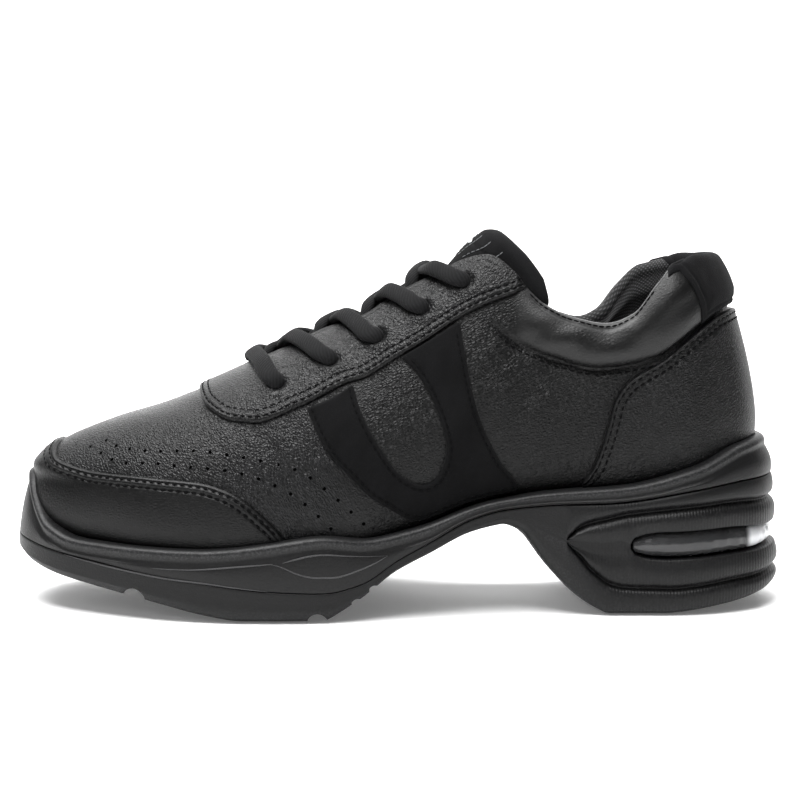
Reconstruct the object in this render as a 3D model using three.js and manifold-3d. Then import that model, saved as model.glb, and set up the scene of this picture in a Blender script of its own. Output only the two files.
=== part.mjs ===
// A lace-up dance trainer with a deep arch, a tall ribbed heel and a clear air tube: the left shoe.
// Millimetres. +Z is up, the toe points along -X, and the outer side of the foot faces -Y.
// The origin is on the floor, under the middle of the shoe's box.
import * as THREE from "three";
import { mergeVertices } from "three/addons/utils/BufferGeometryUtils.js";
import Module from "manifold-3d";

const wasm = await Module();
wasm.setup();

// Main sizes of the sole and the last.
const LENGTH = 262; // toe bumper to the back of the heel
const BALL_WIDTH = 94; // sole across the ball
const SEAT_HEIGHT = 48; // bed of the sole at the heel, above the floor
const TOE_SPRING = 17.6; // underside of the toe, above the floor
const WAIST_THICKNESS = 7.2; // bed to underside at the arch
const INSTEP_HEIGHT = 89; // top of the throat above the bed
const COLLAR_HEIGHT = 72.3; // back of the collar above the bed
const RIM_HEIGHT = 11.5; // sole's rim above the bed at the back of the heel

// Walls, pads and clearances.
const UPPER_WALL = 2;
const OVERLAY = 1.3; // one leather or suede piece sewn on the upper
const TAB_PAD = 1; // how far the heel tab stands over the padded collar
const COLLAR_PAD = 2.6; // how far the padded collar stands out
const INSOLE_THICKNESS = 4;
const INSOLE_BEVEL = 0.8;
const GAP = 0.35; // between pieces that touch
const FACET = 0.15; // how far a facet may stray when small ones are joined
const SINK = 0.8; // how far a sewn piece starts below the upper's face before it is cut clear
const TUCK_UNDER = 2; // how far a sewn piece goes down behind the sole's rim
const BED_DROP = 2.6; // bed down to the joint inside the sole
const GROOVE_DROP = 3.2; // bed down to the groove along the sole's side

// Sole side wall.
const TREAD_INSET = 6;
const TREAD_EDGE = 3.4; // height of the rounded edge above the tread
const EDGE_SHARE = 0.35; // most of the wall's height that the rounded edge may take
const RIB_GROOVE = 1.9; // depth of the grooves between the heel's ribs
const RIB_HALF = 1.5; // half the width of one groove
const RIB_BULGE = 0.7;
const HEEL_LEAN = 1.9; // how far the heel wall leans in at the groove
const RIM_LEAN = 1.6; // how much further the heel's rim leans in
const BUMPER_LEAN = 4.2; // how far the top of the toe bumper leans back
const BEAD = 1.8; // radius of the bead along the rim
const BEAD_SHARE = 0.3; // most of the wall's height that the bead may take
const BEAD_GROOVE = 0.7; // depth of the groove below the bead
const WALL_BULGE = 0.5; // how far the midsole's wall swells
const SLOT_DEPTH = 7.6; // recess for the air tube
const TUBE_CLEARANCE = 0.5;
const TUBE_SET_BACK = 1.3; // clear tube's face behind the ribs
const TUBE_SIDES = 8;
const LUG_DEPTH = 2.2;
const LUG_GROOVE = 3; // width of a groove across the tread
const NOTCH_RADIUS = 3.4;
const CUT_BELOW = 20; // how far a cutter reaches below the tread
const CUT_ACROSS = 1.2 * BALL_WIDTH; // how wide it is

// Laces and eyelets.
const LACE_WIDTH = 6.2;
const LACE_THICKNESS = 3.2;
const EYELET_RADIUS = 2.3;
const EYELET_SIDES = 8;
const PUNCH_LENGTH = 14; // longer than the walls that an eyelet goes through
const LACE_RISE = 3.2; // how far a crossing rises over the line between the facings
const LACE_SIDES = 6;
const TONGUE_THICKNESS = 3;
const TONGUE_PAD = 10;

const LATERAL = -1;
const MEDIAL = 1;

// Outline of the sole, toe tip to heel back. x is a share of LENGTH, and the half widths of BALL_WIDTH.
const OUTLINE = [
  { x: 0, lateral: -0.03, medial: 0.03 },
  { x: 0.012, lateral: 0.117, medial: 0.18 },
  { x: 0.046, lateral: 0.234, medial: 0.298 },
  { x: 0.103, lateral: 0.34, medial: 0.383 },
  { x: 0.172, lateral: 0.431, medial: 0.447 },
  { x: 0.252, lateral: 0.484, medial: 0.489 },
  { x: 0.336, lateral: 0.5, medial: 0.5 },
  { x: 0.416, lateral: 0.484, medial: 0.452 },
  { x: 0.5, lateral: 0.431, medial: 0.367 },
  { x: 0.592, lateral: 0.383, medial: 0.305 },
  { x: 0.691, lateral: 0.356, medial: 0.298 },
  { x: 0.79, lateral: 0.362, medial: 0.33 },
  { x: 0.882, lateral: 0.351, medial: 0.34 },
  { x: 0.954, lateral: 0.261, medial: 0.266 },
  { x: 0.989, lateral: 0.138, medial: 0.149 },
  { x: 1, lateral: -0.005, medial: 0.005 },
];

// Heights along the length. seat is a share of SEAT_HEIGHT, groove of GROOVE_DROP and rim of RIM_HEIGHT.
const BED = [
  { x: 0, seat: 0.563, groove: 0.95, rim: 1.6 },
  { x: 0.012, seat: 0.552, groove: 0.95, rim: 1.42 },
  { x: 0.026, seat: 0.537, groove: 0.95, rim: 0.98 },
  { x: 0.05, seat: 0.51, groove: 1, rim: 0.44 },
  { x: 0.085, seat: 0.474, groove: 1, rim: 0.22 },
  { x: 0.12, seat: 0.446, groove: 1, rim: 0.28 },
  { x: 0.172, seat: 0.396, groove: 1, rim: 0.44 },
  { x: 0.252, seat: 0.344, groove: 1, rim: 0.65 },
  { x: 0.336, seat: 0.29, groove: 1, rim: 1.07 },
  { x: 0.405, seat: 0.275, groove: 1, rim: 1.33 },
  { x: 0.45, seat: 0.325, groove: 1, rim: 1.02 },
  { x: 0.5, seat: 0.49, groove: 1, rim: 0.48 },
  { x: 0.54, seat: 0.596, groove: 0.9, rim: 0.27 },
  { x: 0.592, seat: 0.733, groove: 0.75, rim: 0.13 },
  { x: 0.63, seat: 0.781, groove: 0.6, rim: 0.16 },
  { x: 0.691, seat: 0.823, groove: 0.75, rim: 0.27 },
  { x: 0.79, seat: 0.862, groove: 1, rim: 0.29 },
  { x: 0.882, seat: 0.94, groove: 1, rim: 0.47 },
  { x: 0.954, seat: 0.99, groove: 0.95, rim: 0.9 },
  { x: 1, seat: 1, groove: 0.95, rim: 1 },
];

// Underside. toe is a share of TOE_SPRING, and waist says how far the underside follows the bed.
const UNDERSIDE = [
  { x: 0, toe: 1, waist: 0 },
  { x: 0.024, toe: 0.83, waist: 0 },
  { x: 0.055, toe: 0.676, waist: 0 },
  { x: 0.1, toe: 0.54, waist: 0 },
  { x: 0.143, toe: 0.42, waist: 0 },
  { x: 0.2, toe: 0.25, waist: 0 },
  { x: 0.248, toe: 0.1, waist: 0 },
  { x: 0.3, toe: 0, waist: 0 },
  { x: 0.405, toe: 0, waist: 0 },
  { x: 0.425, toe: 0, waist: 0.38 },
  { x: 0.444, toe: 0, waist: 0.72 },
  { x: 0.467, toe: 0, waist: 0.95 },
  { x: 0.49, toe: 0, waist: 1 },
  { x: 0.63, toe: 0, waist: 1 },
  { x: 0.648, toe: 0, waist: 0.94 },
  { x: 0.66, toe: 0, waist: 0.85 },
  { x: 0.669, toe: 0, waist: 0.74 },
  { x: 0.682, toe: 0, waist: 0.58 },
  { x: 0.702, toe: 0, waist: 0.377 },
  { x: 0.716, toe: 0, waist: 0.255 },
  { x: 0.734, toe: 0, waist: 0.135 },
  { x: 0.752, toe: 0, waist: 0.05 },
  { x: 0.768, toe: 0, waist: 0 },
  { x: 0.94, toe: 0, waist: 0 },
  { x: 0.975, toe: 0.05, waist: 0 },
  { x: 1, toe: 0.2, waist: 0 },
];

// Rib lines on the heel's side, as shares of the wall between the underside and the groove.
const RIBS = [
  { x: 0, low: 0.4, slotLow: 0.5, slotHigh: 0.58, high: 0.68, cut: 0, slot: 0 },
  { x: 0.71, low: 0.5, slotLow: 0.55, slotHigh: 0.58, high: 0.62, cut: 0, slot: 0 },
  { x: 0.719, low: 0.54, slotLow: 0.56, slotHigh: 0.57, high: 0.59, cut: 0.9, slot: 0 },
  { x: 0.727, low: 0.42, slotLow: 0.55, slotHigh: 0.6, high: 0.71, cut: 1, slot: 0 },
  { x: 0.744, low: 0.334, slotLow: 0.54, slotHigh: 0.63, high: 0.82, cut: 1, slot: 0 },
  { x: 0.786, low: 0.25, slotLow: 0.55, slotHigh: 0.66, high: 0.887, cut: 1, slot: 0 },
  { x: 0.794, low: 0.245, slotLow: 0.6, slotHigh: 0.63, high: 0.888, cut: 1, slot: 0 },
  { x: 0.8, low: 0.236, slotLow: 0.54, slotHigh: 0.68, high: 0.889, cut: 1, slot: 1 },
  { x: 0.824, low: 0.226, slotLow: 0.483, slotHigh: 0.705, high: 0.885, cut: 1, slot: 1 },
  { x: 0.865, low: 0.224, slotLow: 0.46, slotHigh: 0.683, high: 0.87, cut: 1, slot: 1 },
  { x: 0.92, low: 0.25, slotLow: 0.457, slotHigh: 0.66, high: 0.852, cut: 1, slot: 1 },
  { x: 1, low: 0.28, slotLow: 0.46, slotHigh: 0.637, high: 0.835, cut: 1, slot: 1 },
];

// The last. inset and tuck are shares of BALL_WIDTH inwards from the sole's outline, at the belly and at the
// bed. belly is a share of the height of the top. ridge is a share of INSTEP_HEIGHT and top of COLLAR_HEIGHT.
// edge is the half width of the opening, a share of BALL_WIDTH; dome is 1 for an arched top, 0 for a wall.
const LAST = [
  { x: 0, inset: 0.05, tuck: 0.04, belly: 0.33, ridge: 0.27, top: 0.3, edge: 0, dome: 1, full: 0.62 },
  { x: 0.03, inset: 0.05, tuck: 0.05, belly: 0.31, ridge: 0.32, top: 0.35, edge: 0, dome: 1, full: 0.62 },
  { x: 0.069, inset: 0.05, tuck: 0.06, belly: 0.3, ridge: 0.383, top: 0.4, edge: 0, dome: 1, full: 0.66 },
  { x: 0.13, inset: 0.05, tuck: 0.07, belly: 0.3, ridge: 0.484, top: 0.5, edge: 0, dome: 1, full: 0.72 },
  { x: 0.2, inset: 0.052, tuck: 0.08, belly: 0.28, ridge: 0.584, top: 0.6, edge: 0, dome: 1, full: 0.8 },
  { x: 0.23, inset: 0.054, tuck: 0.08, belly: 0.27, ridge: 0.63, top: 0.65, edge: 0, dome: 1, full: 0.84 },
  { x: 0.292, inset: 0.055, tuck: 0.08, belly: 0.26, ridge: 0.735, top: 0.72, edge: 0, dome: 1, full: 0.9 },
  { x: 0.312, inset: 0.056, tuck: 0.08, belly: 0.26, ridge: 0.775, top: 0.75, edge: 0.06, dome: 1, full: 0.92 },
  { x: 0.355, inset: 0.057, tuck: 0.08, belly: 0.26, ridge: 0.848, top: 0.85, edge: 0.098, dome: 1, full: 0.95 },
  { x: 0.416, inset: 0.048, tuck: 0.08, belly: 0.26, ridge: 0.943, top: 0.95, edge: 0.112, dome: 1, full: 1 },
  { x: 0.477, inset: 0.036, tuck: 0.08, belly: 0.28, ridge: 0.965, top: 0.97, edge: 0.122, dome: 1, full: 1 },
  { x: 0.54, inset: 0.03, tuck: 0.08, belly: 0.3, ridge: 0.985, top: 0.99, edge: 0.135, dome: 1, full: 1 },
  { x: 0.592, inset: 0.028, tuck: 0.075, belly: 0.3, ridge: 1.015, top: 1.06, edge: 0.155, dome: 1, full: 1 },
  { x: 0.62, inset: 0.03, tuck: 0.07, belly: 0.3, ridge: 1.045, top: 1.16, edge: 0.18, dome: 0.85, full: 1 },
  { x: 0.648, inset: 0.034, tuck: 0.07, belly: 0.3, ridge: 1.04, top: 1.06, edge: 0.213, dome: 0.5, full: 1 },
  { x: 0.69, inset: 0.042, tuck: 0.065, belly: 0.32, ridge: 0.98, top: 0.9, edge: 0.25, dome: 0.12, full: 1 },
  { x: 0.73, inset: 0.052, tuck: 0.06, belly: 0.34, ridge: 0.98, top: 0.822, edge: 0.268, dome: 0, full: 1 },
  { x: 0.77, inset: 0.06, tuck: 0.06, belly: 0.34, ridge: 0.98, top: 0.79, edge: 0.276, dome: 0, full: 1 },
  { x: 0.8, inset: 0.065, tuck: 0.06, belly: 0.32, ridge: 0.98, top: 0.82, edge: 0.276, dome: 0, full: 1 },
  { x: 0.83, inset: 0.07, tuck: 0.06, belly: 0.3, ridge: 0.98, top: 0.93, edge: 0.268, dome: 0, full: 1 },
  { x: 0.86, inset: 0.072, tuck: 0.06, belly: 0.28, ridge: 0.98, top: 1.01, edge: 0.255, dome: 0, full: 1 },
  { x: 0.9, inset: 0.074, tuck: 0.055, belly: 0.26, ridge: 0.98, top: 1.02, edge: 0.218, dome: 0, full: 1 },
  { x: 0.954, inset: 0.078, tuck: 0.05, belly: 0.24, ridge: 0.98, top: 1, edge: 0.178, dome: 0, full: 1 },
  { x: 1, inset: 0.08, tuck: 0.05, belly: 0.22, ridge: 0.98, top: 1, edge: 0.155, dome: 0, full: 1 },
];

// Middle line of the last. y is a share of BALL_WIDTH towards the big toe.
const MIDDLE = [
  { x: 0, y: 0.035 },
  { x: 0.3, y: 0.04 },
  { x: 0.42, y: 0.03 },
  { x: 0.58, y: 0.005 },
  { x: 0.72, y: -0.005 },
  { x: 1, y: 0.005 },
];
const TOE_FAN = { end: 0.263, centre: 0.13, power: 2 }; // spokes that spread round the toe
const INNER_LEAD = { start: 0.7, end: 0.9, by: 0.031 }; // the inner side's collar rises sooner
const HEEL_FAN = { end: 0.805, centre: 0.863, power: 3.4 }; // and round the heel

// Pieces sewn on the upper. x is a share of LENGTH, and z a share of INSTEP_HEIGHT above the bed.
const TOE_SEAM = [
  { x: 0, z: 0.318 },
  { x: 0.02, z: 0.305 },
  { x: 0.05, z: 0.285 },
  { x: 0.09, z: 0.282 },
  { x: 0.18, z: 0.312 },
  { x: 0.248, z: 0.325 },
  { x: 0.3, z: 0.315 },
  { x: 0.328, z: 0.255 },
  { x: 0.362, z: 0.155 },
];
const FACING_SEAM = [
  { x: 0.228, z: 0.632 },
  { x: 0.25, z: 0.585 },
  { x: 0.28, z: 0.558 },
  { x: 0.314, z: 0.565 },
  { x: 0.373, z: 0.638 },
  { x: 0.437, z: 0.715 },
  { x: 0.501, z: 0.712 },
  { x: 0.553, z: 0.73 },
  { x: 0.586, z: 0.745 },
  { x: 0.62, z: 0.765 },
  { x: 0.648, z: 0.78 },
  { x: 0.664, z: 0.793 },
];
const COUNTER_SEAM = [
  { x: 0.733, z: 0.05 },
  { x: 0.747, z: 0.092 },
  { x: 0.766, z: 0.238 },
  { x: 0.776, z: 0.345 },
  { x: 0.798, z: 0.42 },
  { x: 0.837, z: 0.468 },
  { x: 0.89, z: 0.545 },
  { x: 0.94, z: 0.59 },
  { x: 1, z: 0.605 },
];
const COLLAR_SEAM = [
  { x: 0.585, z: 0.745 },
  { x: 0.656, z: 0.585 },
  { x: 0.708, z: 0.505 },
  { x: 0.76, z: 0.468 },
  { x: 0.824, z: 0.478 },
  { x: 0.89, z: 0.555 },
  { x: 0.94, z: 0.6 },
  { x: 1, z: 0.615 },
];
// The suede saddle, front top round to rear top: its outer edge, and the edge of the leather inset.
const SADDLE = [
  { x: 0.381, z: 0.628, insetX: 0.44, insetZ: 0.7 },
  { x: 0.405, z: 0.49, insetX: 0.45, insetZ: 0.6 },
  { x: 0.438, z: 0.365, insetX: 0.472, insetZ: 0.445 },
  { x: 0.478, z: 0.205, insetX: 0.494, insetZ: 0.305 },
  { x: 0.515, z: 0.08, insetX: 0.512, insetZ: 0.235 },
  { x: 0.56, z: 0.045, insetX: 0.528, insetZ: 0.195 },
  { x: 0.61, z: 0.035, insetX: 0.545, insetZ: 0.19 },
  { x: 0.652, z: 0.05, insetX: 0.556, insetZ: 0.235 },
  { x: 0.628, z: 0.165, insetX: 0.558, insetZ: 0.315 },
  { x: 0.604, z: 0.325, insetX: 0.545, insetZ: 0.46 },
  { x: 0.59, z: 0.49, insetX: 0.525, insetZ: 0.6 },
  { x: 0.577, z: 0.725, insetX: 0.503, insetZ: 0.7 },
];
const EYELETS = [
  { x: 0.344, z: 0.703 },
  { x: 0.413, z: 0.8 },
  { x: 0.475, z: 0.824 },
  { x: 0.533, z: 0.836 },
  { x: 0.587, z: 0.86 },
];
const STRAND_LANDING = 0.3; // where a strand meets the far facing, from one eyelet to the next
const STRAND_LEAN = 0.6; // how far it has gone there when it leaves its own facing
// Front edge of the heel tab, from the top of the collar down to the counter's seam.
const TAB_EDGE = [
  { x: 0.849, z: 0.845 },
  { x: 0.877, z: 0.752 },
  { x: 0.895, z: 0.671 },
  { x: 0.902, z: 0.607 },
  { x: 0.908, z: 0.5 },
];
const LUGS = [0.2, 0.248, 0.295, 0.34, 0.82, 0.88]; // grooves across the tread, as shares of LENGTH
// Round notches in the tread that show from the side. size is a share of NOTCH_RADIUS.
const NOTCHES = [
  { x: 0.142, size: 1 },
  { x: 0.392, size: 1 },
  { x: 0.446, size: 0.56 },
  { x: 0.468, size: 0.56 },
];

// The tongue's middle line. z is a share of INSTEP_HEIGHT above the bed; width and bend are shares of
// BALL_WIDTH, and pad is a share of TONGUE_PAD.
const TONGUE = [
  { x: 0.285, z: 0.645, tilt: 0.45, width: 0.1, bend: 0.28, pad: 0 },
  { x: 0.34, z: 0.745, tilt: 0.47, width: 0.15, bend: 0.24, pad: 0 },
  { x: 0.42, z: 0.865, tilt: 0.48, width: 0.18, bend: 0.22, pad: 0 },
  { x: 0.5, z: 0.88, tilt: 0.48, width: 0.2, bend: 0.21, pad: 0.05 },
  { x: 0.545, z: 0.9, tilt: 0.5, width: 0.21, bend: 0.2, pad: 0.3 },
  { x: 0.572, z: 0.95, tilt: 0.66, width: 0.26, bend: 0.185, pad: 0.6 },
  { x: 0.59, z: 0.988, tilt: 0.76, width: 0.31, bend: 0.188, pad: 0.85 },
  { x: 0.605, z: 1.013, tilt: 0.8, width: 0.335, bend: 0.192, pad: 1 },
  { x: 0.62, z: 1.035, tilt: 0.8, width: 0.34, bend: 0.195, pad: 0.95 },
  { x: 0.632, z: 1.042, tilt: 0.78, width: 0.325, bend: 0.195, pad: 0.65 },
];

// Where sections are taken, as shares of LENGTH, closer together where the shape turns.
const SOLE_STATIONS = [
  0, 0.004, 0.013, 0.025, 0.042, 0.065, 0.095, 0.13, 0.172, 0.215, 0.252, 0.3, 0.336, 0.38, 0.405, 0.425,
  0.447, 0.475, 0.5, 0.54, 0.592, 0.628, 0.648, 0.664, 0.682, 0.702, 0.719, 0.731, 0.752, 0.786, 0.797, 0.803,
  0.83, 0.865, 0.9, 0.93, 0.955, 0.975, 0.99, 0.998, 1,
];
const LAST_STATIONS = [
  0, 0.006, 0.022, 0.048, 0.085, 0.13, 0.18, 0.228, 0.262, 0.292, 0.322, 0.36, 0.41, 0.46, 0.52, 0.575, 0.61,
  0.64, 0.68, 0.725, 0.77, 0.815, 0.865, 0.91, 0.95, 0.98, 1,
];
const PATCH_STEPS = 4; // rows of facets on a sewn piece
const TAB_TOP = 0.985; // row at which the heel tab ends
const TAB_LEAST = 0.05; // least height of the tab, in rows
const BELLY_ROW = 0.22; // where the belly lies on the way from bed to top
const LAST_ROWS = [0, 0.11, 0.22, 0.4, 0.58, 0.75, 0.89, 1];

// Value of a column at a share of the length, by a cubic that never overshoots its rows.
function along(rows, column, x) {
  const last = rows.length - 1;
  if (x <= rows[0].x) return rows[0][column];
  if (x >= rows[last].x) return rows[last][column];
  let i = 0;
  while (x > rows[i + 1].x) i += 1;
  const slope = (k) => (rows[k + 1][column] - rows[k][column]) / (rows[k + 1].x - rows[k].x);
  const tangent = (k) => {
    if (k === 0 || k === last) return 0;
    const before = slope(k - 1);
    const after = slope(k);
    return before * after <= 0 ? 0 : (2 * before * after) / (before + after);
  };
  const step = rows[i + 1].x - rows[i].x;
  const t = (x - rows[i].x) / step;
  const t2 = t * t;
  const t3 = t2 * t;
  return (
    (2 * t3 - 3 * t2 + 1) * rows[i][column] +
    (t3 - 2 * t2 + t) * step * tangent(i) +
    (3 * t2 - 2 * t3) * rows[i + 1][column] +
    (t3 - t2) * step * tangent(i + 1)
  );
}

const clamp = (v, low, high) => Math.min(high, Math.max(low, v));
const mix = (a, b, t) => a + (b - a) * t;
const toX = (share) => (share - 0.5) * LENGTH;
const toShare = (x) => x / LENGTH + 0.5;

// Row i of the outline on one side, carried on round the toe and the heel.
function outlineRow(side, i) {
  const last = OUTLINE.length - 1;
  const other = i < 0 || i > last;
  const row = OUTLINE[i < 0 ? -i : i > last ? 2 * last - i : i];
  const facing = other ? -side : side;
  const half = facing === LATERAL ? row.lateral : row.medial;
  return [toX(row.x), facing * half * BALL_WIDTH];
}

// A point of the outline, s rows from the toe tip.
function outlineAt(side, s) {
  const i = clamp(Math.floor(s), 0, OUTLINE.length - 2);
  const t = s - i;
  const rows = [-1, 0, 1, 2].map((k) => outlineRow(side, i + k));
  return [0, 1].map(
    (c) =>
      0.5 *
      (2 * rows[1][c] +
        (rows[2][c] - rows[0][c]) * t +
        (2 * rows[0][c] - 5 * rows[1][c] + 4 * rows[2][c] - rows[3][c]) * t * t +
        (3 * rows[1][c] - rows[0][c] - 3 * rows[2][c] + rows[3][c]) * t * t * t),
  );
}

// The outline's point and its outward direction at a share of the length.
function outline(side, share) {
  const x = toX(share);
  let low = 0;
  let high = OUTLINE.length - 1;
  for (let k = 0; k < 40; k += 1) {
    const middle = (low + high) / 2;
    if (outlineAt(side, middle)[0] < x) low = middle;
    else high = middle;
  }
  const s = share <= 0 ? 0 : share >= 1 ? OUTLINE.length - 1 : (low + high) / 2;
  const a = outlineAt(side, s - 1e-3);
  const b = outlineAt(side, s + 1e-3);
  const run = Math.hypot(b[0] - a[0], b[1] - a[1]);
  return {
    point: outlineAt(side, s),
    out: [(-side * (b[1] - a[1])) / run, (side * (b[0] - a[0])) / run],
  };
}

const bedAt = (share) => SEAT_HEIGHT * along(BED, "seat", share);
const grooveAt = (share) => bedAt(share) - GROOVE_DROP * along(BED, "groove", share);
const rimAt = (share) => bedAt(share) + RIM_HEIGHT * along(BED, "rim", share);
const undersideAt = (share) =>
  TOE_SPRING * along(UNDERSIDE, "toe", share) +
  along(UNDERSIDE, "waist", share) * (bedAt(share) - WAIST_THICKNESS);
const ridgeAt = (share) => bedAt(share) + INSTEP_HEIGHT * along(LAST, "ridge", share);
const onLast = (rows, share) => bedAt(share) + INSTEP_HEIGHT * along(rows, "z", share);
const heelShare = (share) => clamp((share - 0.7) / 0.3, 0, 1);

// Spoke of the last: it runs from the middle line out to the sole's outline.
function spoke(side, share) {
  const { point } = outline(side, share);
  let centre = share;
  if (share < TOE_FAN.end) {
    centre = mix(TOE_FAN.centre, TOE_FAN.end, (share / TOE_FAN.end) ** TOE_FAN.power);
  }
  if (share > HEEL_FAN.end) {
    const t = (1 - share) / (1 - HEEL_FAN.end);
    centre = mix(HEEL_FAN.centre, HEEL_FAN.end, t ** HEEL_FAN.power);
  }
  const middle = [toX(centre), BALL_WIDTH * along(MIDDLE, "y", centre)];
  const reach = Math.hypot(point[0] - middle[0], point[1] - middle[1]);
  return { middle, reach, to: [(point[0] - middle[0]) / reach, (point[1] - middle[1]) / reach] };
}

// Height of the collar above the bed.
function collarTop(side, share) {
  const { start, end, by } = INNER_LEAD;
  const lead = side === MEDIAL ? by * Math.sin(Math.PI * clamp((share - start) / (end - start), 0, 1)) : 0;
  return COLLAR_HEIGHT * along(LAST, "top", share + lead);
}

// A point of the upper's outer face. v runs from the bed, 0, to the ridge or the opening's edge, 1.
function lastPoint(side, share, v) {
  const { middle, reach, to } = spoke(side, share);
  const value = (column) => along(LAST, column, share);
  const bed = bedAt(share) + GAP;
  const belly = reach - value("inset") * BALL_WIDTH;
  const feather = belly - value("tuck") * BALL_WIDTH;
  const edge = value("edge") * BALL_WIDTH;
  const dome = value("dome");
  const wallTop = bed + collarTop(side, share);
  const bellyZ = mix(bed, mix(wallTop, ridgeAt(share), dome), value("belly"));
  let r;
  let z;
  if (v < BELLY_ROW) {
    const turn = ((v / BELLY_ROW) * Math.PI) / 2;
    r = mix(feather, belly, Math.sin(turn));
    z = mix(bed, bellyZ, 1 - Math.cos(turn));
  } else {
    const t = (v - BELLY_ROW) / (1 - BELLY_ROW);
    const end = Math.acos(clamp(edge / belly, 0, 1) ** (1 / value("full")));
    const domeR = belly * Math.cos(t * end) ** value("full");
    const domeX = toShare(middle[0] + to[0] * domeR);
    const domeZ = mix(bellyZ, ridgeAt(domeX), Math.sin(t * end));
    const wallR = mix(belly, edge, t ** 1.5);
    r = mix(wallR, domeR, dome);
    z = mix(mix(bellyZ, wallTop, t), domeZ, dome);
    const seam = onLast(COLLAR_SEAM, share);
    const rise = clamp((z - seam) / Math.max(1, wallTop - seam), 0, 1);
    r += (1 - dome) * COLLAR_PAD * Math.sin(Math.PI * rise) ** 0.8;
  }
  return new THREE.Vector3(middle[0] + to[0] * r, middle[1] + to[1] * r, z);
}

// Outward direction of the upper's face.
function lastNormal(side, share, v) {
  if (v > 0.999 && along(LAST, "edge", share) === 0) {
    const at = toShare(spoke(side, share).middle[0]);
    const slope = (ridgeAt(at + 0.005) - ridgeAt(at - 0.005)) / (0.01 * LENGTH);
    return new THREE.Vector3(-slope, 0, 1).normalize();
  }
  const e = 0.004;
  const up = lastPoint(side, share, Math.min(1, v + e)).sub(lastPoint(side, share, Math.max(0, v - e)));
  const before = share < e ? lastPoint(-side, e - share, v) : lastPoint(side, share - e, v);
  const after = share > 1 - e ? lastPoint(-side, 2 - e - share, v) : lastPoint(side, share + e, v);
  return after.sub(before).cross(up).multiplyScalar(-side).normalize();
}

// The upper's face pushed out, or in where by is negative.
function lastOffset(side, share, v, by) {
  return lastPoint(side, share, v).addScaledVector(lastNormal(side, share, v), by);
}

// How far up the face a height lies, on one spoke.
function rowAt(side, share, z) {
  let low = 0;
  let high = 1;
  for (let k = 0; k < 30; k += 1) {
    const middle = (low + high) / 2;
    if (lastPoint(side, share, middle).z < z) low = middle;
    else high = middle;
  }
  return (low + high) / 2;
}

// True where a closed body's faces look inwards.
function isInsideOut(geometry, index) {
  const at = (k) => new THREE.Vector3().fromBufferAttribute(geometry.attributes.position, index[k]);
  let volume = 0;
  for (let k = 0; k < index.length; k += 3) volume += at(k).dot(at(k + 1).cross(at(k + 2)));
  return volume < 0;
}

// A closed body from faces given as lists of corner points.
class Body {
  constructor() {
    this.corners = [];
  }
  face(...points) {
    for (let k = 2; k < points.length; k += 1) this.corners.push(points[0], points[k - 1], points[k]);
  }
  // A sheet of quads between rows of points, each split along its shorter diagonal; flip turns it over.
  sheet(rows, flip = false) {
    for (let i = 0; i + 1 < rows.length; i += 1) {
      for (let j = 0; j + 1 < rows[i].length; j += 1) {
        const quad = [rows[i][j], rows[i + 1][j], rows[i + 1][j + 1], rows[i][j + 1]];
        if (flip) quad.reverse();
        if (quad[1].distanceTo(quad[3]) < quad[0].distanceTo(quad[2])) quad.push(quad.shift());
        this.face(...quad);
      }
    }
  }
  geometry() {
    const flat = new THREE.BufferGeometry().setFromPoints(this.corners);
    const merged = mergeVertices(flat, 2e-3);
    const index = merged.index.array;
    const kept = [];
    for (let k = 0; k < index.length; k += 3) {
      const [a, b, c] = [index[k], index[k + 1], index[k + 2]];
      if (a !== b && b !== c && c !== a) kept.push(a, b, c);
    }
    merged.setIndex(isInsideOut(merged, kept) ? kept.reverse() : kept);
    return merged;
  }
  solid() {
    return solidOf(this.geometry());
  }
}

// A closed three.js geometry as a manifold-3d solid.
function solidOf(geometry) {
  return new wasm.Manifold(
    new wasm.Mesh({
      numProp: 3,
      vertProperties: geometry.attributes.position.array,
      triVerts: new Uint32Array(geometry.index.array),
    }),
  );
}

// As solidOf, for one of three.js' own shapes, whose corners are merged first.
function solidOfShape(geometry) {
  geometry.deleteAttribute("normal");
  geometry.deleteAttribute("uv");
  return solidOf(mergeVertices(geometry, 1e-3));
}

// A manifold-3d solid as a three.js geometry.
function geometryOf(solid) {
  const mesh = solid.getMesh();
  const geometry = new THREE.BufferGeometry();
  geometry.setAttribute("position", new THREE.BufferAttribute(new Float32Array(mesh.vertProperties), 3));
  geometry.setIndex(new THREE.BufferAttribute(new Uint32Array(mesh.triVerts), 1));
  return geometry;
}

// The largest connected piece of a solid, without needless small facets.
function mainPiece(solid) {
  return solid.decompose().sort((a, b) => b.volume() - a.volume())[0].simplify(FACET);
}

// Points round the shoe: out along the lateral side, back along the medial side.
function loop(stations, pointAt) {
  const back = stations.slice(1, -1).reverse();
  const ring = [...stations.map((s) => pointAt(LATERAL, s)), ...back.map((s) => pointAt(MEDIAL, s))];
  return [...ring, ring[0]];
}

// Closes one ring of the loop with strips from side to side. The tips belong to both sides.
function cap(body, stations, pointAt, facingUp) {
  const far = (i) => pointAt(i === 0 || i === stations.length - 1 ? LATERAL : MEDIAL, stations[i]);
  for (let i = 0; i + 1 < stations.length; i += 1) {
    const quad = [
      pointAt(LATERAL, stations[i]),
      pointAt(LATERAL, stations[i + 1]),
      far(i + 1),
      far(i),
    ];
    body.face(...(facingUp ? quad : quad.reverse()));
  }
}

// A form that runs round the shoe: each station has a wall with the same number of points.
function ringSolid(stations, wallAt) {
  const walls = loop(stations, wallAt);
  const body = new Body();
  body.sheet(walls);
  const lastRow = walls[0].length - 1;
  cap(body, stations, (side, s) => wallAt(side, s)[0], false);
  cap(body, stations, (side, s) => wallAt(side, s)[lastRow], true);
  return body;
}

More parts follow.
